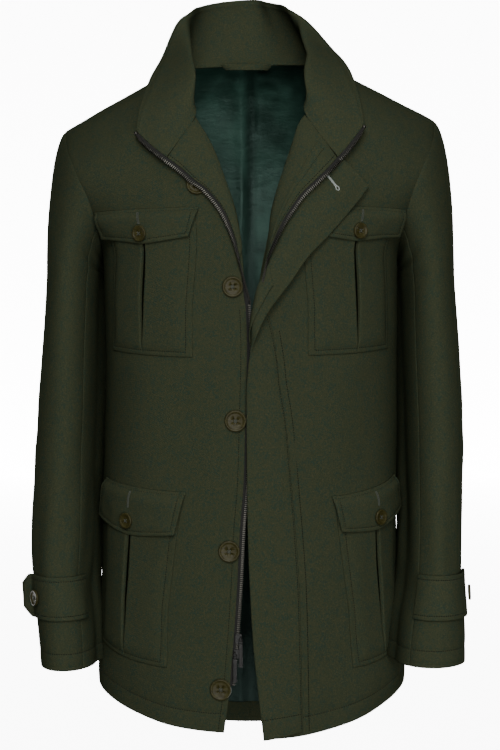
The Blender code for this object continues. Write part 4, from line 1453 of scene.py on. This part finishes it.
@dataclass
class Facings:
    """The turned-back upper fronts, faced with wool, and the guard strip beside the left zip."""

    collar: Collar
    form: Form = FORM
    rows: dict[Side, tuple[Lapel, ...]] = field(default_factory=lambda: {
        Side.RIGHT: (
            Lapel(45, -99, 75, -134, 9), Lapel(34, -124, 60.5, -147, 9), Lapel(26.5, -145, 47, -157, 9),
            Lapel(18, -170, 29, -179, 8), Lapel(12.5, -194, 18, -206, 7), Lapel(8.5, -222, 11, -232, 6),
        ),
        Side.LEFT: (
            Lapel(51.5, -86, 82, -137, 16), Lapel(43.5, -114, 68.5, -150, 16), Lapel(34.5, -138, 55, -163, 16),
            Lapel(26, -166, 42, -181, 15.5), Lapel(22, -184, 33, -196, 14.5), Lapel(20, -205, 25.5, -213, 14),
            Lapel(18.5, -220, 18.5, -232, 14), Lapel(12.5, -248, 13, -256, 14),
        ),
    })
    clear: float = 0.004
    end: float = 0.99
    swell: float = 14.0
    wide: float = 44.0
    tall: float = 190.0
    stitch: float = 3.2

    def pairs(self, side: Side) -> list[tuple[Vector, Vector]]:
        """Roll and edge points from the collar seam down."""
        rows = [(self.collar.point(side.value * 0.89, 0), self.collar.point(side.value * 1.0, 0))]
        for row in self.rows[side]:
            roll = self.form.on_front(side, row.roll_x, row.roll_z, 3.2)
            rows.append((roll, self.form.on_front(side, row.edge_x, row.edge_z, row.stand_off)))
        return rows

    def point(self, u: float, v: float, pairs: list[tuple[Vector, Vector]]) -> Vector:
        """Point of a facing; v from the collar seam down, u from the roll to the zip."""
        roll, edge = along_points([pair[0] for pair in pairs], v), along_points([pair[1] for pair in pairs], v)
        point = roll.lerp(edge, u)
        point.y -= self.swell * u * (1 - u) * (1 - v)
        return point

    def build(self) -> None:
        """Build both facings and the guard."""
        needle = Needle("stitches_facings")
        for side in Side:
            pairs = self.pairs(side)

            def place(u: float, v: float) -> Vector:
                """Point of the piece for two shares."""
                return self.point(u, self.clear + (self.end - self.clear) * v, pairs)

            def relief(u: float, v: float) -> float:
                """Height over the placed cloth."""
                roll = -1.6 * bell(u, 0.10)
                soft = 1.1 * waver(u * 1.6, v * 4.5, side.value) * min(4 * u * (1 - u), 1)
                stitched = groove((1 - u) * self.wide, self.stitch, 0.35, 0.9)
                return roll + soft * (1 - v) + seam_roll(v * self.tall) + stitched

            sheet = Sheet(
                f"facing_{side.word}", lines(self.wide, 4, (self.wide - self.stitch,)), lines(self.tall, 5), place,
                BEHIND, 2.6, relief,
            )
            sheet.build(WOOL_PAINTED_LIGHTER, "folded", f"front_{side.word}")
            needle.sew(sheet, [(1 - self.stitch / self.wide, 0.02 + 0.9 * n / 12) for n in range(13)])
        needle.build(THREAD)
        self.guard()

    def guard(self) -> None:
        """Narrow strip with two bound edges beside the left zip."""
        pairs = self.pairs(Side.LEFT)

        def place(u: float, v: float) -> Vector:
            """Point of the piece for two shares."""
            point = self.point(0.52 + 0.18 * u, 0.05 + 0.75 * v, pairs)
            point.y -= 1.9 + 0.4 * waver(v * 5, 0, 4)
            return point

        sheet = Sheet(
            "zip_guard", lines(8, 1.2), lines(130, 5), place, BEHIND, 1.0,
            lambda u, v: groove(u * 8, 1.5, 0.4, 0.6) + groove(u * 8, 6.5, 0.4, 0.6),
        )
        sheet.build(WOOL_PAINTED_LIGHTER, "laid", "facing_left")


@dataclass
class Placket:
    """Buttoned placket on the left front, with the strip of the hidden fastening under it."""

    form: Form = FORM
    wide: float = 42.0
    long: float = 690.0
    seam_stitch: float = 1.6
    top_stitch: float = 5.0
    hem_stitch: float = 20.0
    rows: tuple[Strip, ...] = (
        Strip((103, -123, 5.2), (117, -137, 7.5), (131, -151, 6.5)),
        Strip((90, -131, 6.5), (105, -148, 9.5), (120, -165, 8.5)),
        Strip((75, -144, 8.0), (88, -165, 11), (101, -187, 10)),
        Strip((62, -156, 8.5), (72, -182, 11.5), (81, -210, 11)),
        Strip((50, -170, 8.0), (56, -200, 12), (62, -230, 12)),
        Strip((38, -187, 7.0), (42, -222, 12), (44, -257, 12.5)),
        Strip((25, -210, 6), (26, -243, 13), (33, -272, 12.5)),
        Strip((17, -232, 6), (15, -262, 14), (22, -287, 14)),
        Strip((13, -256, 6), (8, -280, 15), (14, -301, 17)),
        Strip((17, -284, 4.5), (3, -301, 13), (8, -316, 18)),
        Strip((25, -312, 2.6), (6, -324, 9), (2, -332, 13)),
        Strip((30, -343, 1.9), (13, -348, 7.5), (-2, -352, 9)),
        Strip((33, -371, 1.7), (14, -374, 6.4), (-4, -377, 7)),
        Strip((40, -415, 1.6), (18, -415, 5.8), (-4, -415, 7)),
        Strip((46, -480, 1.6), (21, -480, 5.8), (-3.5, -480, 7)),
        Strip((51, -540, 1.6), (24, -540, 5.8), (-2.5, -540, 7)),
        Strip((55, -600, 1.6), (27, -602, 5.8), (0, -604, 7)),
        Strip((57, -665, 1.6), (30, -666, 5.8), (4, -668, 7)),
        Strip((58, -720, 1.6), (34, -722, 5.8), (10, -724, 7)),
        Strip((59, -760, 1.6), (37, -764, 5.8), (15, -768, 7)),
    )

    def columns(self) -> list[list[Vector]]:
        """The three lines of points that the placket passes through."""
        return [
            [self.form.on_front(Side.LEFT, *getattr(row, column)) for row in self.rows]
            for column in ("seam", "mid", "free")
        ]

    def point(self, columns: list[list[Vector]], u: float, v: float) -> Vector:
        """Point of the placket; v from the collar end down, u from the seam to the free edge."""
        return through(*(along_points(column, v) for column in columns), u)

    def build(self) -> Sheet:
        """Build the placket, its strip and its stitching."""
        columns = self.columns()

        def relief(u: float, v: float) -> float:
            """Height over the placed cloth."""
            at, down = u * self.wide, v * self.long
            height = groove(at, self.seam_stitch, 0.7) + groove(down, self.top_stitch, 0.6)
            height += groove(self.long - down, self.hem_stitch, 0.4)
            height += -0.9 * bell(self.wide - at, 1.8)
            calm = step(0, 6, at) * step(0, 5, self.wide - at)
            wave = waver(u * 1.2, v * 9, 2.4) + 0.4 * waver(u * 2.5, v * 26, 5.0)
            return height + 0.9 * wave * calm

        sheet = Sheet(
            "placket", lines(self.wide, 3.4, (self.seam_stitch,)),
            lines(self.long, 6, (self.top_stitch, self.long - self.hem_stitch)),
            lambda u, v: self.point(columns, u, v), AXIS, 2.4, relief,
        )
        sheet.build(WOOL_PAINTED_LIGHTER, "folded", "front_left")
        needle = Needle("stitches_placket")
        needle.sew(sheet, [(self.seam_stitch / self.wide, 0.5 + 0.495 * n / 20) for n in range(21)])
        low, top = 1 - self.hem_stitch / self.long, self.top_stitch / self.long
        needle.sew(sheet, [(0.05, low), (0.95, low)])
        needle.sew(sheet, [(0.06, top), (0.94, top)])
        below = [
            self.form.on_front(Side.LEFT, row.seam[0] + 7.5, row.seam[1], 1.0) for row in self.rows[10:]
        ]
        line = [along_points(below, n / 90) for n in range(91)]
        needle.along(line, [Vector((0.3, -1, 0)).normalized()] * len(line))
        needle.build(THREAD)

        def under(u: float, v: float) -> Vector:
            """Point of the strip under the placket."""
            across, down = 0.3 + 0.42 * u, 0.33 + 0.665 * v
            point = self.point(columns, across, down)
            over = self.point(columns, across + 0.02, down) - point
            fall = self.point(columns, across, min(down + 0.004, 1)) - self.point(columns, across, down - 0.004)
            return point + fall.cross(over).normalized() * 2.9

        strip = Sheet("fly_strip", lines(17, 4), lines(460, 8), under, AXIS, 1.2)
        strip.build(WOOL_PAINTED_LIGHTER, "folded", "placket")
        return sheet


# ---------------------------------------------------------------- pockets
class PocketCut(NamedTuple):
    """Cut and place of one pocket with its flap."""

    kind: str
    side: Side
    inner: float
    outer: float
    lean: float
    splay: float
    top: float
    bottom: float
    flap_drop: float
    dip: float
    lift: float
    low_lift: float


@dataclass
class Pockets:
    """Patch pockets with an inverted pleat, and their buttoned flaps."""

    form: Form = FORM
    cuts: tuple[PocketCut, ...] = (
        PocketCut("chest", Side.RIGHT, 50, 150, 10, 6, -175, -341, 33, 8, 0, 6),
        PocketCut("chest", Side.LEFT, 50, 150, 10, 4, -172, -339, 33, 8, 0, 6),
        PocketCut("lower", Side.RIGHT, 70, 163, 14, 0, -491, -689, 48, 8, 11, 20),
        PocketCut("lower", Side.LEFT, 90, 166, 16, 0, -496, -691, 40, 8, 20, 20),
    )
    seam: float = 6.0
    flap_seam: float = 5.0
    flap_top: float = 3.6
    closed_from: float = 0.93

    def point(self, cut: PocketCut, u: float, down: float, out: float) -> Vector:
        """Point at a share across the pocket, a distance down from its top, moved out."""
        fall = down / (cut.top - cut.bottom)
        level_z = -400 if cut.kind == "lower" else self.form.armpit_z
        inner = self.form.front_angle(cut.side, cut.inner + cut.lean * min(fall * 1.5, 1), level_z, 0)
        outer = self.form.front_angle(cut.side, cut.outer + cut.splay * fall, level_z, 0)
        angle = inner + (outer - inner) * u
        z = cut.top + (cut.lift + (cut.low_lift - cut.lift) * fall) * max(u, 0) ** 1.5 - down
        if z > self.form.armpit_z:
            x = abs(self.form.point(cut.side, angle, 1.1).x)
            rise = (z - self.form.armpit_z) / (self.form.shoulder_z(cut.side, x) - self.form.armpit_z)
            return self.form.cloth(cut.side, angle, 1 + rise, out)
        low = self.form.hem_z(cut.side, angle)
        return self.form.cloth(cut.side, angle, (z - low) / (self.form.armpit_z - low), out)

    def body(self, cut: PocketCut, needle: Needle) -> None:
        """Patch of one pocket: edges sewn down, middle a little full, with a pleat down its middle."""
        tall, wide = cut.top - cut.bottom, (cut.outer - cut.inner) * 1.12
        seed = cut.top / 100 + cut.side.value
        slit, wall, depth = 5.0, 1.2, 3.4
        spread = 1.01 if cut.kind == "chest" else 0.94

        def gape(v: float) -> float:
            """Half width of the pleat's opening at a share of its height."""
            return 0.2 + (3.3 if cut.kind == "lower" else 3.0) * max(sin(pi * min(0.25 + 0.75 * v, 1) ** 1.5), 0)

        def shift(u: float, v: float) -> float:
            """Where a column lies across the patch: those beside the slit follow its lips."""
            lip = (u - 0.5) * wide
            lip_at, size = min(abs(lip) / slit, 1), gape(v) / slit
            if abs(lip) < slit:
                lip = (1 if lip > 0 else -1) * slit * size * min(lip_at * slit / (slit - wall), 1)
            else:
                share = (abs(lip) - slit) / (wide / 2 - slit)
                lip = (1 if lip > 0 else -1) * (gape(v) + 0.12 + (wide / 2 - gape(v) - 0.12) * share)
            return 0.5 + lip / wide

        def place(u: float, v: float) -> Vector:
            """Point of the piece for two shares."""
            return self.point(cut, 0.03 + spread * shift(u, v), 6 + (tall - 6) * v, 1.75)

        def relief(u: float, v: float) -> float:
            """Height over the placed cloth."""
            at, down = u * wide, v * tall
            edge = min(at, wide - at)
            low = min(edge, tall - down)
            height = 2.0 * step(0, 16, low) + groove(low, self.seam, 0.7) - 0.5 * bell(low, 1.3)
            lip = at - wide / 2
            closed = 1 - step(self.closed_from, 1.0, v)
            if abs(lip) < slit - 0.01:
                height -= depth * closed * step(0, 14, tall - down)
            else:
                height += (1.0 if lip < 0 else 0.5) * exp(-((abs(lip) - slit) / 5.0)) * closed
            soft = waver(u * 2.2, v * 2.8, seed) + 0.4 * waver(u * 6, v * 7, seed)
            return height + 0.7 * soft * step(4, 22, low)

        def dark(u: float, v: float) -> float:
            """Painted shade: how much the cloth inside the pleat's slit is darkened."""
            inside = 1 - step(slit - 1.0, slit - 0.2, abs((u - 0.5) * wide))
            return inside * (1 - step(self.closed_from, 1.0, v))

        middle = wide / 2
        across = [at for at in lines(wide, 5, (self.seam, wide - self.seam)) if abs(at * wide - middle) > slit + 1.5]
        lips = (-slit - 1.2, -slit, -slit + 0.4, -2, 0, 2, slit - 0.4, slit, slit + 1.2)
        across += [(middle + at) / wide for at in lips]
        sheet = Sheet(
            f"pocket_{cut.kind}_{cut.side.word}", sorted(across), lines(tall, 6, (tall - self.seam,)),
            place, AXIS, 1.6, relief, dark,
        )
        sheet.build(WOOL, "laid", f"front_{cut.side.word}")
        near, far, low = self.seam / wide, 1 - self.seam / wide, 1 - self.seam / tall
        needle.sew(sheet, [
            (near, 0.02), (near, 0.35), (near, 0.7), (near, low), (0.35, low), (0.65, low), (far, low),
            (far, 0.7), (far, 0.35), (far, 0.02),
        ])

    def flap(self, cut: PocketCut, needle: Needle) -> Sheet:
        """Flap of one pocket: sewn along its top, its free edges standing a little off."""
        wide = (cut.outer - cut.inner) * 1.15
        seed = cut.bottom / 90 + cut.side.value
        long = cut.flap_drop + cut.dip * 0.6
        # how far the flap's ends slant, as shares of its width
        outer, back, inner = (0.13, 0.0, 0.09) if cut.kind == "chest" else (0.08, 0.06, 0.04)

        def place(u: float, v: float) -> Vector:
            """Point of the piece for two shares."""
            drop = cut.flap_drop + cut.dip * (1 - abs(2 * u - 1) ** 1.15)
            return self.point(cut, u + u**3 * (outer * v - back) + (1 - u) ** 3 * inner * v, drop * v, 1.9)

        def relief(u: float, v: float) -> float:
            """Height over the placed cloth."""
            at, down = u * wide, v * long
            rim = min(at, wide - at, long - down)
            height = 5.1 * step(-1, 12, down) + groove(rim, self.flap_seam, 0.8) - 0.5 * bell(rim, 1.3)
            height += groove(down, self.flap_top, 0.7)
            wave = waver(u * 3.4, v * 1.5, seed) + 0.5 * waver(u * 8, v * 3, seed)
            corner = max(abs(2 * u - 1) - 0.55, 0) / 0.45
            return height + 1.3 * wave * step(6, 26, down) + 1.4 * corner * v

        sheet = Sheet(
            f"flap_{cut.kind}_{cut.side.word}", lines(wide, 4, (self.flap_seam, wide - self.flap_seam)),
            lines(long, 3.6, (self.flap_top, long - self.flap_seam)), place, AXIS, 2.2, relief,
        )
        sheet.build(WOOL_PAINTED_LIGHTER, "laid", f"pocket_{cut.kind}_{cut.side.word}")
        near, far, low = self.flap_seam / wide, 1 - self.flap_seam / wide, 1 - self.flap_seam / long
        top = self.flap_top / long
        needle.sew(sheet, [(near, top), (near, low), (0.25, low), (0.5, low), (0.75, low), (far, low), (far, top)])
        needle.sew(sheet, [(0.01, top), (0.5, top), (0.99, top)])
        return sheet

    def build(self, buttons: "Buttons") -> None:
        """Build pockets, flaps, their buttons and buttonholes."""
        needle = Needle("stitches_pockets")
        for cut in self.cuts:
            self.body(cut, needle)
            flap = self.flap(cut, needle)
            buttons.put(f"button_{cut.kind}_{cut.side.word}", flap.at(0.5, 0.70), flap.normal(0.5, 0.70), 9.0)
            buttons.hole(flap, (0.5, 0.10), (0.5, 0.42))
        needle.build(THREAD)


# ---------------------------------------------------------------- buttons
@dataclass
class Buttons:
    """Four-hole buttons with a rim, sewn with crossed thread, and the worked buttonholes."""

    form: Form = FORM
    thick: float = 3.2
    steps: int = 56
    slot: float = 0.85
    hole_at: float = 1.4
    bore: float = 0.8
    fronts: tuple[Triple, ...] = (
        (58, -150, 12), (19, -263, 11.5), (16, -411, 12), (23, -556, 12), (32.5, -711, 12),
    )
    thread: Needle = field(default_factory=lambda: Needle("button_thread", 1.0, 1.5, 0.42))
    holes: Needle = field(default_factory=lambda: Needle("buttonhole_thread", 0.55, 0.9, 0.62))
    keyhole: Needle = field(default_factory=lambda: Needle("keyhole_thread", 0.55, 0.9, 0.72))

    def put(self, name: str, place: Vector, facing: Vector, radius: float) -> None:
        """Put one button.

        Args:
            name: the CAD node that it stands for.
            place: point on the cloth's face below it.
            facing: direction that it faces.
            radius: its radius in millimetres.
        """
        facing = facing.normalized()
        turn = Matrix.Translation((place + facing * 0.75) * MM) @ facing.to_track_quat("Z", "Y").to_matrix().to_4x4()
        high = self.thick
        profile = (
            (0.0, 0.0), (radius - 2.2, 0.0), (radius - 0.7, 0.3), (radius - 0.1, 1.1), (radius, 1.9),
            (radius - 0.35, high - 0.35), (radius - 1.0, high), (radius - 1.7, high - 0.08),
            (radius - 2.4, high - 0.5), (radius - 3.2, high - 1.0), (radius - 4.4, high - 1.18), (0.0, high - 1.25),
        )
        bm = bmesh.new()
        chain = [bm.verts.new(Vector((r, 0, h)) * MM) for r, h in profile]
        edges = [bm.edges.new(pair) for pair in zip(chain, chain[1:])]
        bmesh.ops.spin(
            bm, geom=chain + edges, axis=(0, 0, 1), cent=(0, 0, 0), angle=2 * pi, steps=self.steps, use_merge=True
        )
        bmesh.ops.remove_doubles(bm, verts=bm.verts, dist=1e-6)
        bmesh.ops.recalc_face_normals(bm, faces=bm.faces)
        bmesh.ops.transform(bm, matrix=turn, verts=bm.verts)
        obj = new_piece(name + "_horn", bm, HORN)
        settle(obj, HORN, name)
        self._drill(obj, turn)
        self._sew(turn)

    def _drill(self, obj: bpy.types.Object, turn: Matrix) -> None:
        """Cut the four sewing holes."""
        bm = bmesh.new()
        for x in (-self.hole_at, self.hole_at):
            for y in (-self.hole_at, self.hole_at):
                spot = turn @ Matrix.Translation(Vector((x, y, self.thick / 2)) * MM)
                bmesh.ops.create_cone(
                    bm, cap_ends=True, segments=14, radius1=self.bore * MM, radius2=self.bore * MM,
                    depth=2.5 * self.thick * MM, matrix=spot,
                )
        drill = link_mesh(obj.name + "_drill", bm)
        drill.hide_render = drill.hide_viewport = True
        cut = obj.modifiers.new("holes", "BOOLEAN")
        cut.operation, cut.object, cut.solver = "DIFFERENCE", drill, "EXACT"

    def _sew(self, turn: Matrix) -> None:
        """Cross of thread between the holes."""
        up = (turn.to_3x3() @ Vector((0, 0, 1))).normalized()
        height = self.thick - 1.0
        for sign in (-1, 1):
            for drift in (-0.28, 0.28):
                a = Vector((drift - self.hole_at, -self.hole_at * sign, height))
                b = Vector((drift + self.hole_at, self.hole_at * sign, height))
                steps = [a.lerp(b, n / 8) + Vector((0, 0, 0.35 * sin(pi * n / 8))) for n in range(9)]
                points = [turn @ (p * MM) / MM for p in steps]
                self.thread.along(points, [up] * len(points))

    def hole(
        self, sheet: Sheet, start: Point, end: Point, eye: float = 0.0, face: int = 1
    ) -> None:
        """Work a buttonhole on one face of a sheet: a slot of close stitches, with a round eye at its end if asked.

        Args:
            sheet: the cloth.
            start: shares of the sheet where the slot starts.
            end: shares of the sheet where it ends.
            eye: radius of the round eye in millimetres, or 0 for none.
            face: 1 for the face that the normal points from, -1 for the other.
        """
        wide, tall, _ = sheet.size()
        a, b = Vector((start[0] * wide, start[1] * tall)), Vector((end[0] * wide, end[1] * tall))
        ahead = (b - a).normalized()
        side = Vector((-ahead.y, ahead.x))
        half, stop = self.slot, b - ahead * eye * 1.9
        bend = [a + side * half, stop + side * half]
        if eye:
            centre = b - ahead * eye
            turns = [0.5 + (2 * pi - 1.0) * n / 14 for n in range(15)]
            bend += [centre - ahead * eye * cos(t) + side * eye * sin(t) for t in turns]
        bend += [stop - side * half, a - side * half, a + side * half]
        path = [p.lerp(q, n / 10) for p, q in zip(bend, bend[1:]) for n in range(10)] + [bend[-1]]
        shares = [(p.x / wide, p.y / tall) for p in path]
        needle = self.keyhole if eye else self.holes
        lift = 0.12 if face > 0 else -sheet.thick - 0.12
        needle.along([sheet.at(*at, lift) for at in shares], [sheet.normal(*at) * face for at in shares])

    def build(self, placket: Sheet) -> None:
        """Build the front buttons and finish all thread."""
        for n, (x, z, radius) in enumerate(self.fronts, 1):
            place = self.form.on_front(Side.RIGHT, x, z, 0.8)
            facing = self.form.on_front(Side.RIGHT, x, z, 2) - place
            self.put(f"button_front_{n}", place, facing, radius)
        self.hole(placket, (0.08, 0.084), (0.50, 0.084), 2.4, -1)
        self.thread.build(PALE_THREAD)
        self.holes.build(PALE_THREAD)
        self.keyhole.build(WHITE_THREAD)


# ---------------------------------------------------------------- zip
@dataclass
class Zip:
    """Two-way zip: woven tapes with metal teeth at both open edges, end stops, and two sliders with pulls."""

    panels: Panels
    collar: Collar
    facings: Facings
    pitch: float = 2.3
    near: float = 1.0
    far: float = 5.0
    edge_rows: int = 46
    cad_share: float = 0.48
    # each tooth's jaw and tip: how far out it is, and its size
    tooth: tuple[tuple[float, Triple], ...] = ((0.0, (3.0, 1.25, 2.3)), (1.6, (1.2, 0.85, 1.5)))
    # cross bar, two cheeks, tongue and its raised middle
    pull: tuple[tuple[Triple, Triple], ...] = (
        ((-1.9, -0.6, -0.6), (1.9, 0.6, 0.6)),
        ((-2.2, -0.6, -7.0), (-1.4, 0.6, 0.6)),
        ((1.4, -0.6, -7.0), (2.2, 0.6, 0.6)),
        ((-2.2, -0.7, -31.0), (2.2, 0.7, -4.6)),
        ((-1.2, -0.95, -29.0), (1.2, 0.95, -10.0)),
    )
    # how far each pull's hinge is from the middle of its slider
    shifts: dict[str, float] = field(default_factory=lambda: {"upper": 2.5, "lower": -2.7})

    def lapel_line(self, side: Side) -> list[tuple[Vector, Vector]]:
        """Edge points with one inside each, from the collar's corner down to the lapel's end."""
        key = side.value
        rows = [(self.collar.point(key, 1 - n / 12), self.collar.point(key * 0.985, 1 - n / 12)) for n in range(12)]
        pairs = self.facings.pairs(side)
        for n in range(self.edge_rows + 1):
            v = self.facings.clear + (self.facings.end - self.facings.clear) * n / self.edge_rows
            rows.append((self.facings.point(1, v, pairs), self.facings.point(0.8, v, pairs)))
        return rows

    def front_line(self, side: Side) -> list[tuple[Vector, Vector]]:
        """The same down the front, to the tape's end above the hem."""
        top, end = 9 / 21 if side is Side.RIGHT else 8 / 21, 1 / 21
        rows = []
        for n in range(self.edge_rows + 15):
            v = top + (end - top) * n / (self.edge_rows + 14)
            # the CAD's rows share out the height a little differently
            share = self.cad_share
            level = v / share if v <= share else 1 + 0.998 * sin((v - share) / (1 - share) * pi / 2)
            v = level * self.panels.hem_share if level <= 1 else v
            rows.append((self.panels.front_point(side, 0, v), self.panels.front_point(side, 0.05, v)))
        return rows

    def strip(self, name: str, line: list[tuple[Vector, Vector]], teeth: bmesh.types.BMesh) -> None:
        """One tape with its row of teeth along the outer edge."""
        rows = []
        for edge, inside in line:
            away = (edge - inside).normalized()
            rows.append((edge - away * self.near, edge + away * self.far))
        last = len(rows) - 1

        def place(u: float, v: float) -> Vector:
            """Point of the piece for two shares."""
            return along_points([row[0] for row in rows], v).lerp(along_points([row[1] for row in rows], v), u)

        sheet = Sheet(name, [0, 0.3, 0.7, 1], [n / last for n in range(last + 1)], place, AXIS, 0.8)
        sheet.build(TAPE, "laid", "facing_right")
        self.teeth(sheet, teeth)

    def teeth(self, sheet: Sheet, bm: bmesh.types.BMesh) -> None:
        """Row of teeth clamped on the outer edge of a tape."""
        edge = sheet.points[-1]
        inner = sheet.points[0]
        due, done = 0.0, 0.0
        for n in range(len(edge) - 1):
            a, b = edge[n], edge[n + 1]
            reach = (b - a).length
            ahead = (b - a) / reach
            out = (a - inner[n]).normalized()
            up = out.cross(ahead).normalized()
            if up.dot(sheet.normals[-1][n]) < 0:
                up = -up
            turn = Matrix((out, ahead, up)).transposed().to_4x4()
            while due <= done + reach:
                spot = a + ahead * (due - done) - out * 1.0
                for offset, size in self.tooth:
                    shape = turn @ Matrix.Diagonal((*[s * MM for s in size], 1))
                    matrix = Matrix.Translation((spot + out * offset) * MM) @ shape
                    bmesh.ops.create_cube(bm, size=1, matrix=matrix)
                due += self.pitch
            done += reach

    def end_stop(self, bm: bmesh.types.BMesh, line: list[tuple[Vector, Vector]]) -> None:
        """Round metal stop at the top of a row of teeth."""
        edge, inside = line[0]
        away = (edge - inside).normalized()
        spot = edge + away * 2.6
        bmesh.ops.create_uvsphere(
            bm, u_segments=16, v_segments=10, radius=2.3 * MM, matrix=Matrix.Translation(spot * MM)
        )

    def metal(self, name: str, bm: bmesh.types.BMesh, finish: Finish, bevel: float, body: str, *nodes: str) -> None:
        """Make a piece of metal with eased edges."""
        obj = new_piece(name + "_metal", bm, finish)
        ease = obj.modifiers.new("ease", "BEVEL")
        ease.width, ease.segments = bevel * MM, 2
        ease.limit_method = "ANGLE"
        obj.data.set_sharp_from_angle(angle=radians(40))
        settle(obj, finish, *nodes, body=body)

    @staticmethod
    def blocks(place: Vector, boxes: Sequence[tuple[Triple, Triple]]) -> bmesh.types.BMesh:
        """Boxes about a place, each between two corners."""
        bm = bmesh.new()
        for low, high in boxes:
            size = [b - a for a, b in zip(low, high)]
            middle = Vector([(a + b) / 2 for a, b in zip(low, high)])
            matrix = Matrix.Translation((place + middle) * MM) @ Matrix.Diagonal((*[s * MM for s in size], 1))
            bmesh.ops.create_cube(bm, size=1, matrix=matrix)
        return bm

    def slider(self, stem: str, pivot: Vector, shift: float) -> None:
        """Slider on the right edge, and the pull that hangs from its bridge.

        Args:
            stem: which slider it is.
            pivot: middle of the pull's hinge, in millimetres.
            shift: how far the hinge is from the middle of the slider.
        """
        wide, deep, half = 7.8, 3.0, 5.5
        middle, bridge = wide / 2 + shift, -deep - 3.0
        plates = (
            ((0, -deep, -half), (wide, -deep + 1.5, half)),
            ((0, deep - 1.5, -half), (wide, deep, half)),
            ((wide - 2.2, -deep + 0.2, -half + 0.2), (wide - 0.1, deep - 0.2, half - 0.2)),
            ((middle - 0.9, bridge, 1.6), (middle + 0.9, -deep + 0.3, 2.6)),
            ((middle - 0.9, bridge, -2.6), (middle + 0.9, -deep + 0.3, -1.6)),
            ((middle - 0.9, bridge, -2.6), (middle + 0.9, bridge + 1.0, 2.6)),
        )
        place = pivot - Vector((middle, -deep - 1.15, -0.6))
        self.metal(f"slider_{stem}", self.blocks(place, plates), GUNMETAL, 0.35, BODY, f"slider_{stem}")
        self.metal(f"pull_{stem}", self.blocks(pivot, self.pull), GUNMETAL, 0.3, f"pull_{stem}", f"pull_{stem}")

    def build(self) -> None:
        """Build the whole zip."""
        teeth = bmesh.new()
        right, left = self.lapel_line(Side.RIGHT), self.lapel_line(Side.LEFT)
        self.strip("zip_tape_right", right + self.front_line(Side.RIGHT), teeth)
        self.strip("zip_tape_left", left, teeth)
        self.strip("zip_tape_left_low", self.front_line(Side.LEFT), teeth)
        self.metal("zip_teeth", teeth, TEETH, 0.22, BODY)
        stops = bmesh.new()
        self.end_stop(stops, right)
        self.end_stop(stops, left)
        self.metal("zip_end_stops", stops, TEETH, 0.1, BODY)
        for joint in frame["record"]["behaviour"]["joints"]:
            stem = joint["child"].removeprefix("pull_")
            self.slider(stem, Vector(joint["pos_m"]) / MM, self.shifts[stem])


# ---------------------------------------------------------------- studio
@dataclass(frozen=True)
class Studio:
    """Pale sweep, soft lamps and the camera."""

    distance: float = 2.0
    height: float = -0.272
    tilt: float = 2.70
    lens: float = 81.4
    floor: float = -1.45
    glow: float = 9.0
    sky: float = 0.05
    # each lamp's name, place, size and power
    lamps: tuple[tuple[str, Triple, float, float], ...] = (
        ("key", (-0.2, -3.0, 1.2), 1.4, 112), ("fill", (0.6, -3.0, -0.8), 1.6, 82), ("top", (0.0, -0.9, 1.9), 1.2, 18),
    )

    def paint(self, name: str, tone: float, glow: float) -> bpy.types.Material:
        """Matt pale paint with a little light of its own."""
        nodes = Nodes(name)
        nodes.set(Base_Color=(tone, tone, tone), Roughness=0.95, Emission_Color=(1.0, 1.0, 1.0), Emission_Strength=glow)
        return nodes.material

    def board(self, name: str, size: float, matrix: Matrix, material: bpy.types.Material) -> None:
        """One large flat board behind or below the object."""
        bm = bmesh.new()
        bmesh.ops.create_grid(bm, x_segments=2, y_segments=2, size=size, matrix=matrix)
        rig.stage(link_mesh(name, bm, material))

    def lamp(self, name: str, place: Triple, size: float, power: float) -> None:
        """Square area lamp aimed at the jacket's middle."""
        data = bpy.data.lights.new(name, "AREA")
        data.shape, data.size, data.energy = "SQUARE", size, power
        obj = bpy.data.objects.new(name, data)
        aim = Vector((0, 0, -0.35)) - Vector(place)
        obj.matrix_world = Matrix.Translation(place) @ aim.to_track_quat("-Z", "Y").to_matrix().to_4x4()
        bpy.context.scene.collection.objects.link(obj)

    def build(self) -> None:
        """Build the studio."""
        paint = self.paint("pale_paint", 0.9, self.glow)
        upright = Matrix.Rotation(radians(90), 4, "X")
        self.board("floor", 5.0, Matrix.Translation((0, 6.2, self.floor)), paint)
        self.board("backdrop", 4.0, Matrix.Translation((0, 9.0, 0)) @ upright, paint)
        for lamp in self.lamps:
            self.lamp(*lamp)
        world = bpy.data.worlds.new("studio")
        world.use_nodes = True
        sky = world.node_tree.nodes["Background"].inputs
        sky["Color"].default_value, sky["Strength"].default_value = (0.95, 0.97, 1.0, 1), self.sky
        scene = bpy.context.scene
        scene.world = world
        data = bpy.data.cameras.new("camera")
        data.lens, data.sensor_width = self.lens, 36.0
        camera = bpy.data.objects.new("camera", data)
        camera.location = (0, -self.distance, self.height)
        camera.rotation_euler = (radians(90 - self.tilt), 0, 0)
        scene.collection.objects.link(camera)
        scene.camera = camera


# ---------------------------------------------------------------- the jacket
def main() -> None:
    """Build the jacket and its studio."""
    logging.basicConfig(level=logging.INFO)
    panels, buttons = Panels(), Buttons()
    panels.build()
    collar = Collar()
    collar.build()
    collar.hanger_loop()
    facings = Facings(collar)
    facings.build()
    placket = Placket().build()
    Sleeves().build(buttons)
    Pockets().build(buttons)
    buttons.build(placket)
    Zip(panels, collar, facings).build()
    Studio().build()
    sizes = {"before": [list(row) for row in CAD_BOX], "after": [list(row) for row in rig.bounds()]}
    Path("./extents.json").write_text(json.dumps(sizes))


if __name__ == "__main__":
    main()
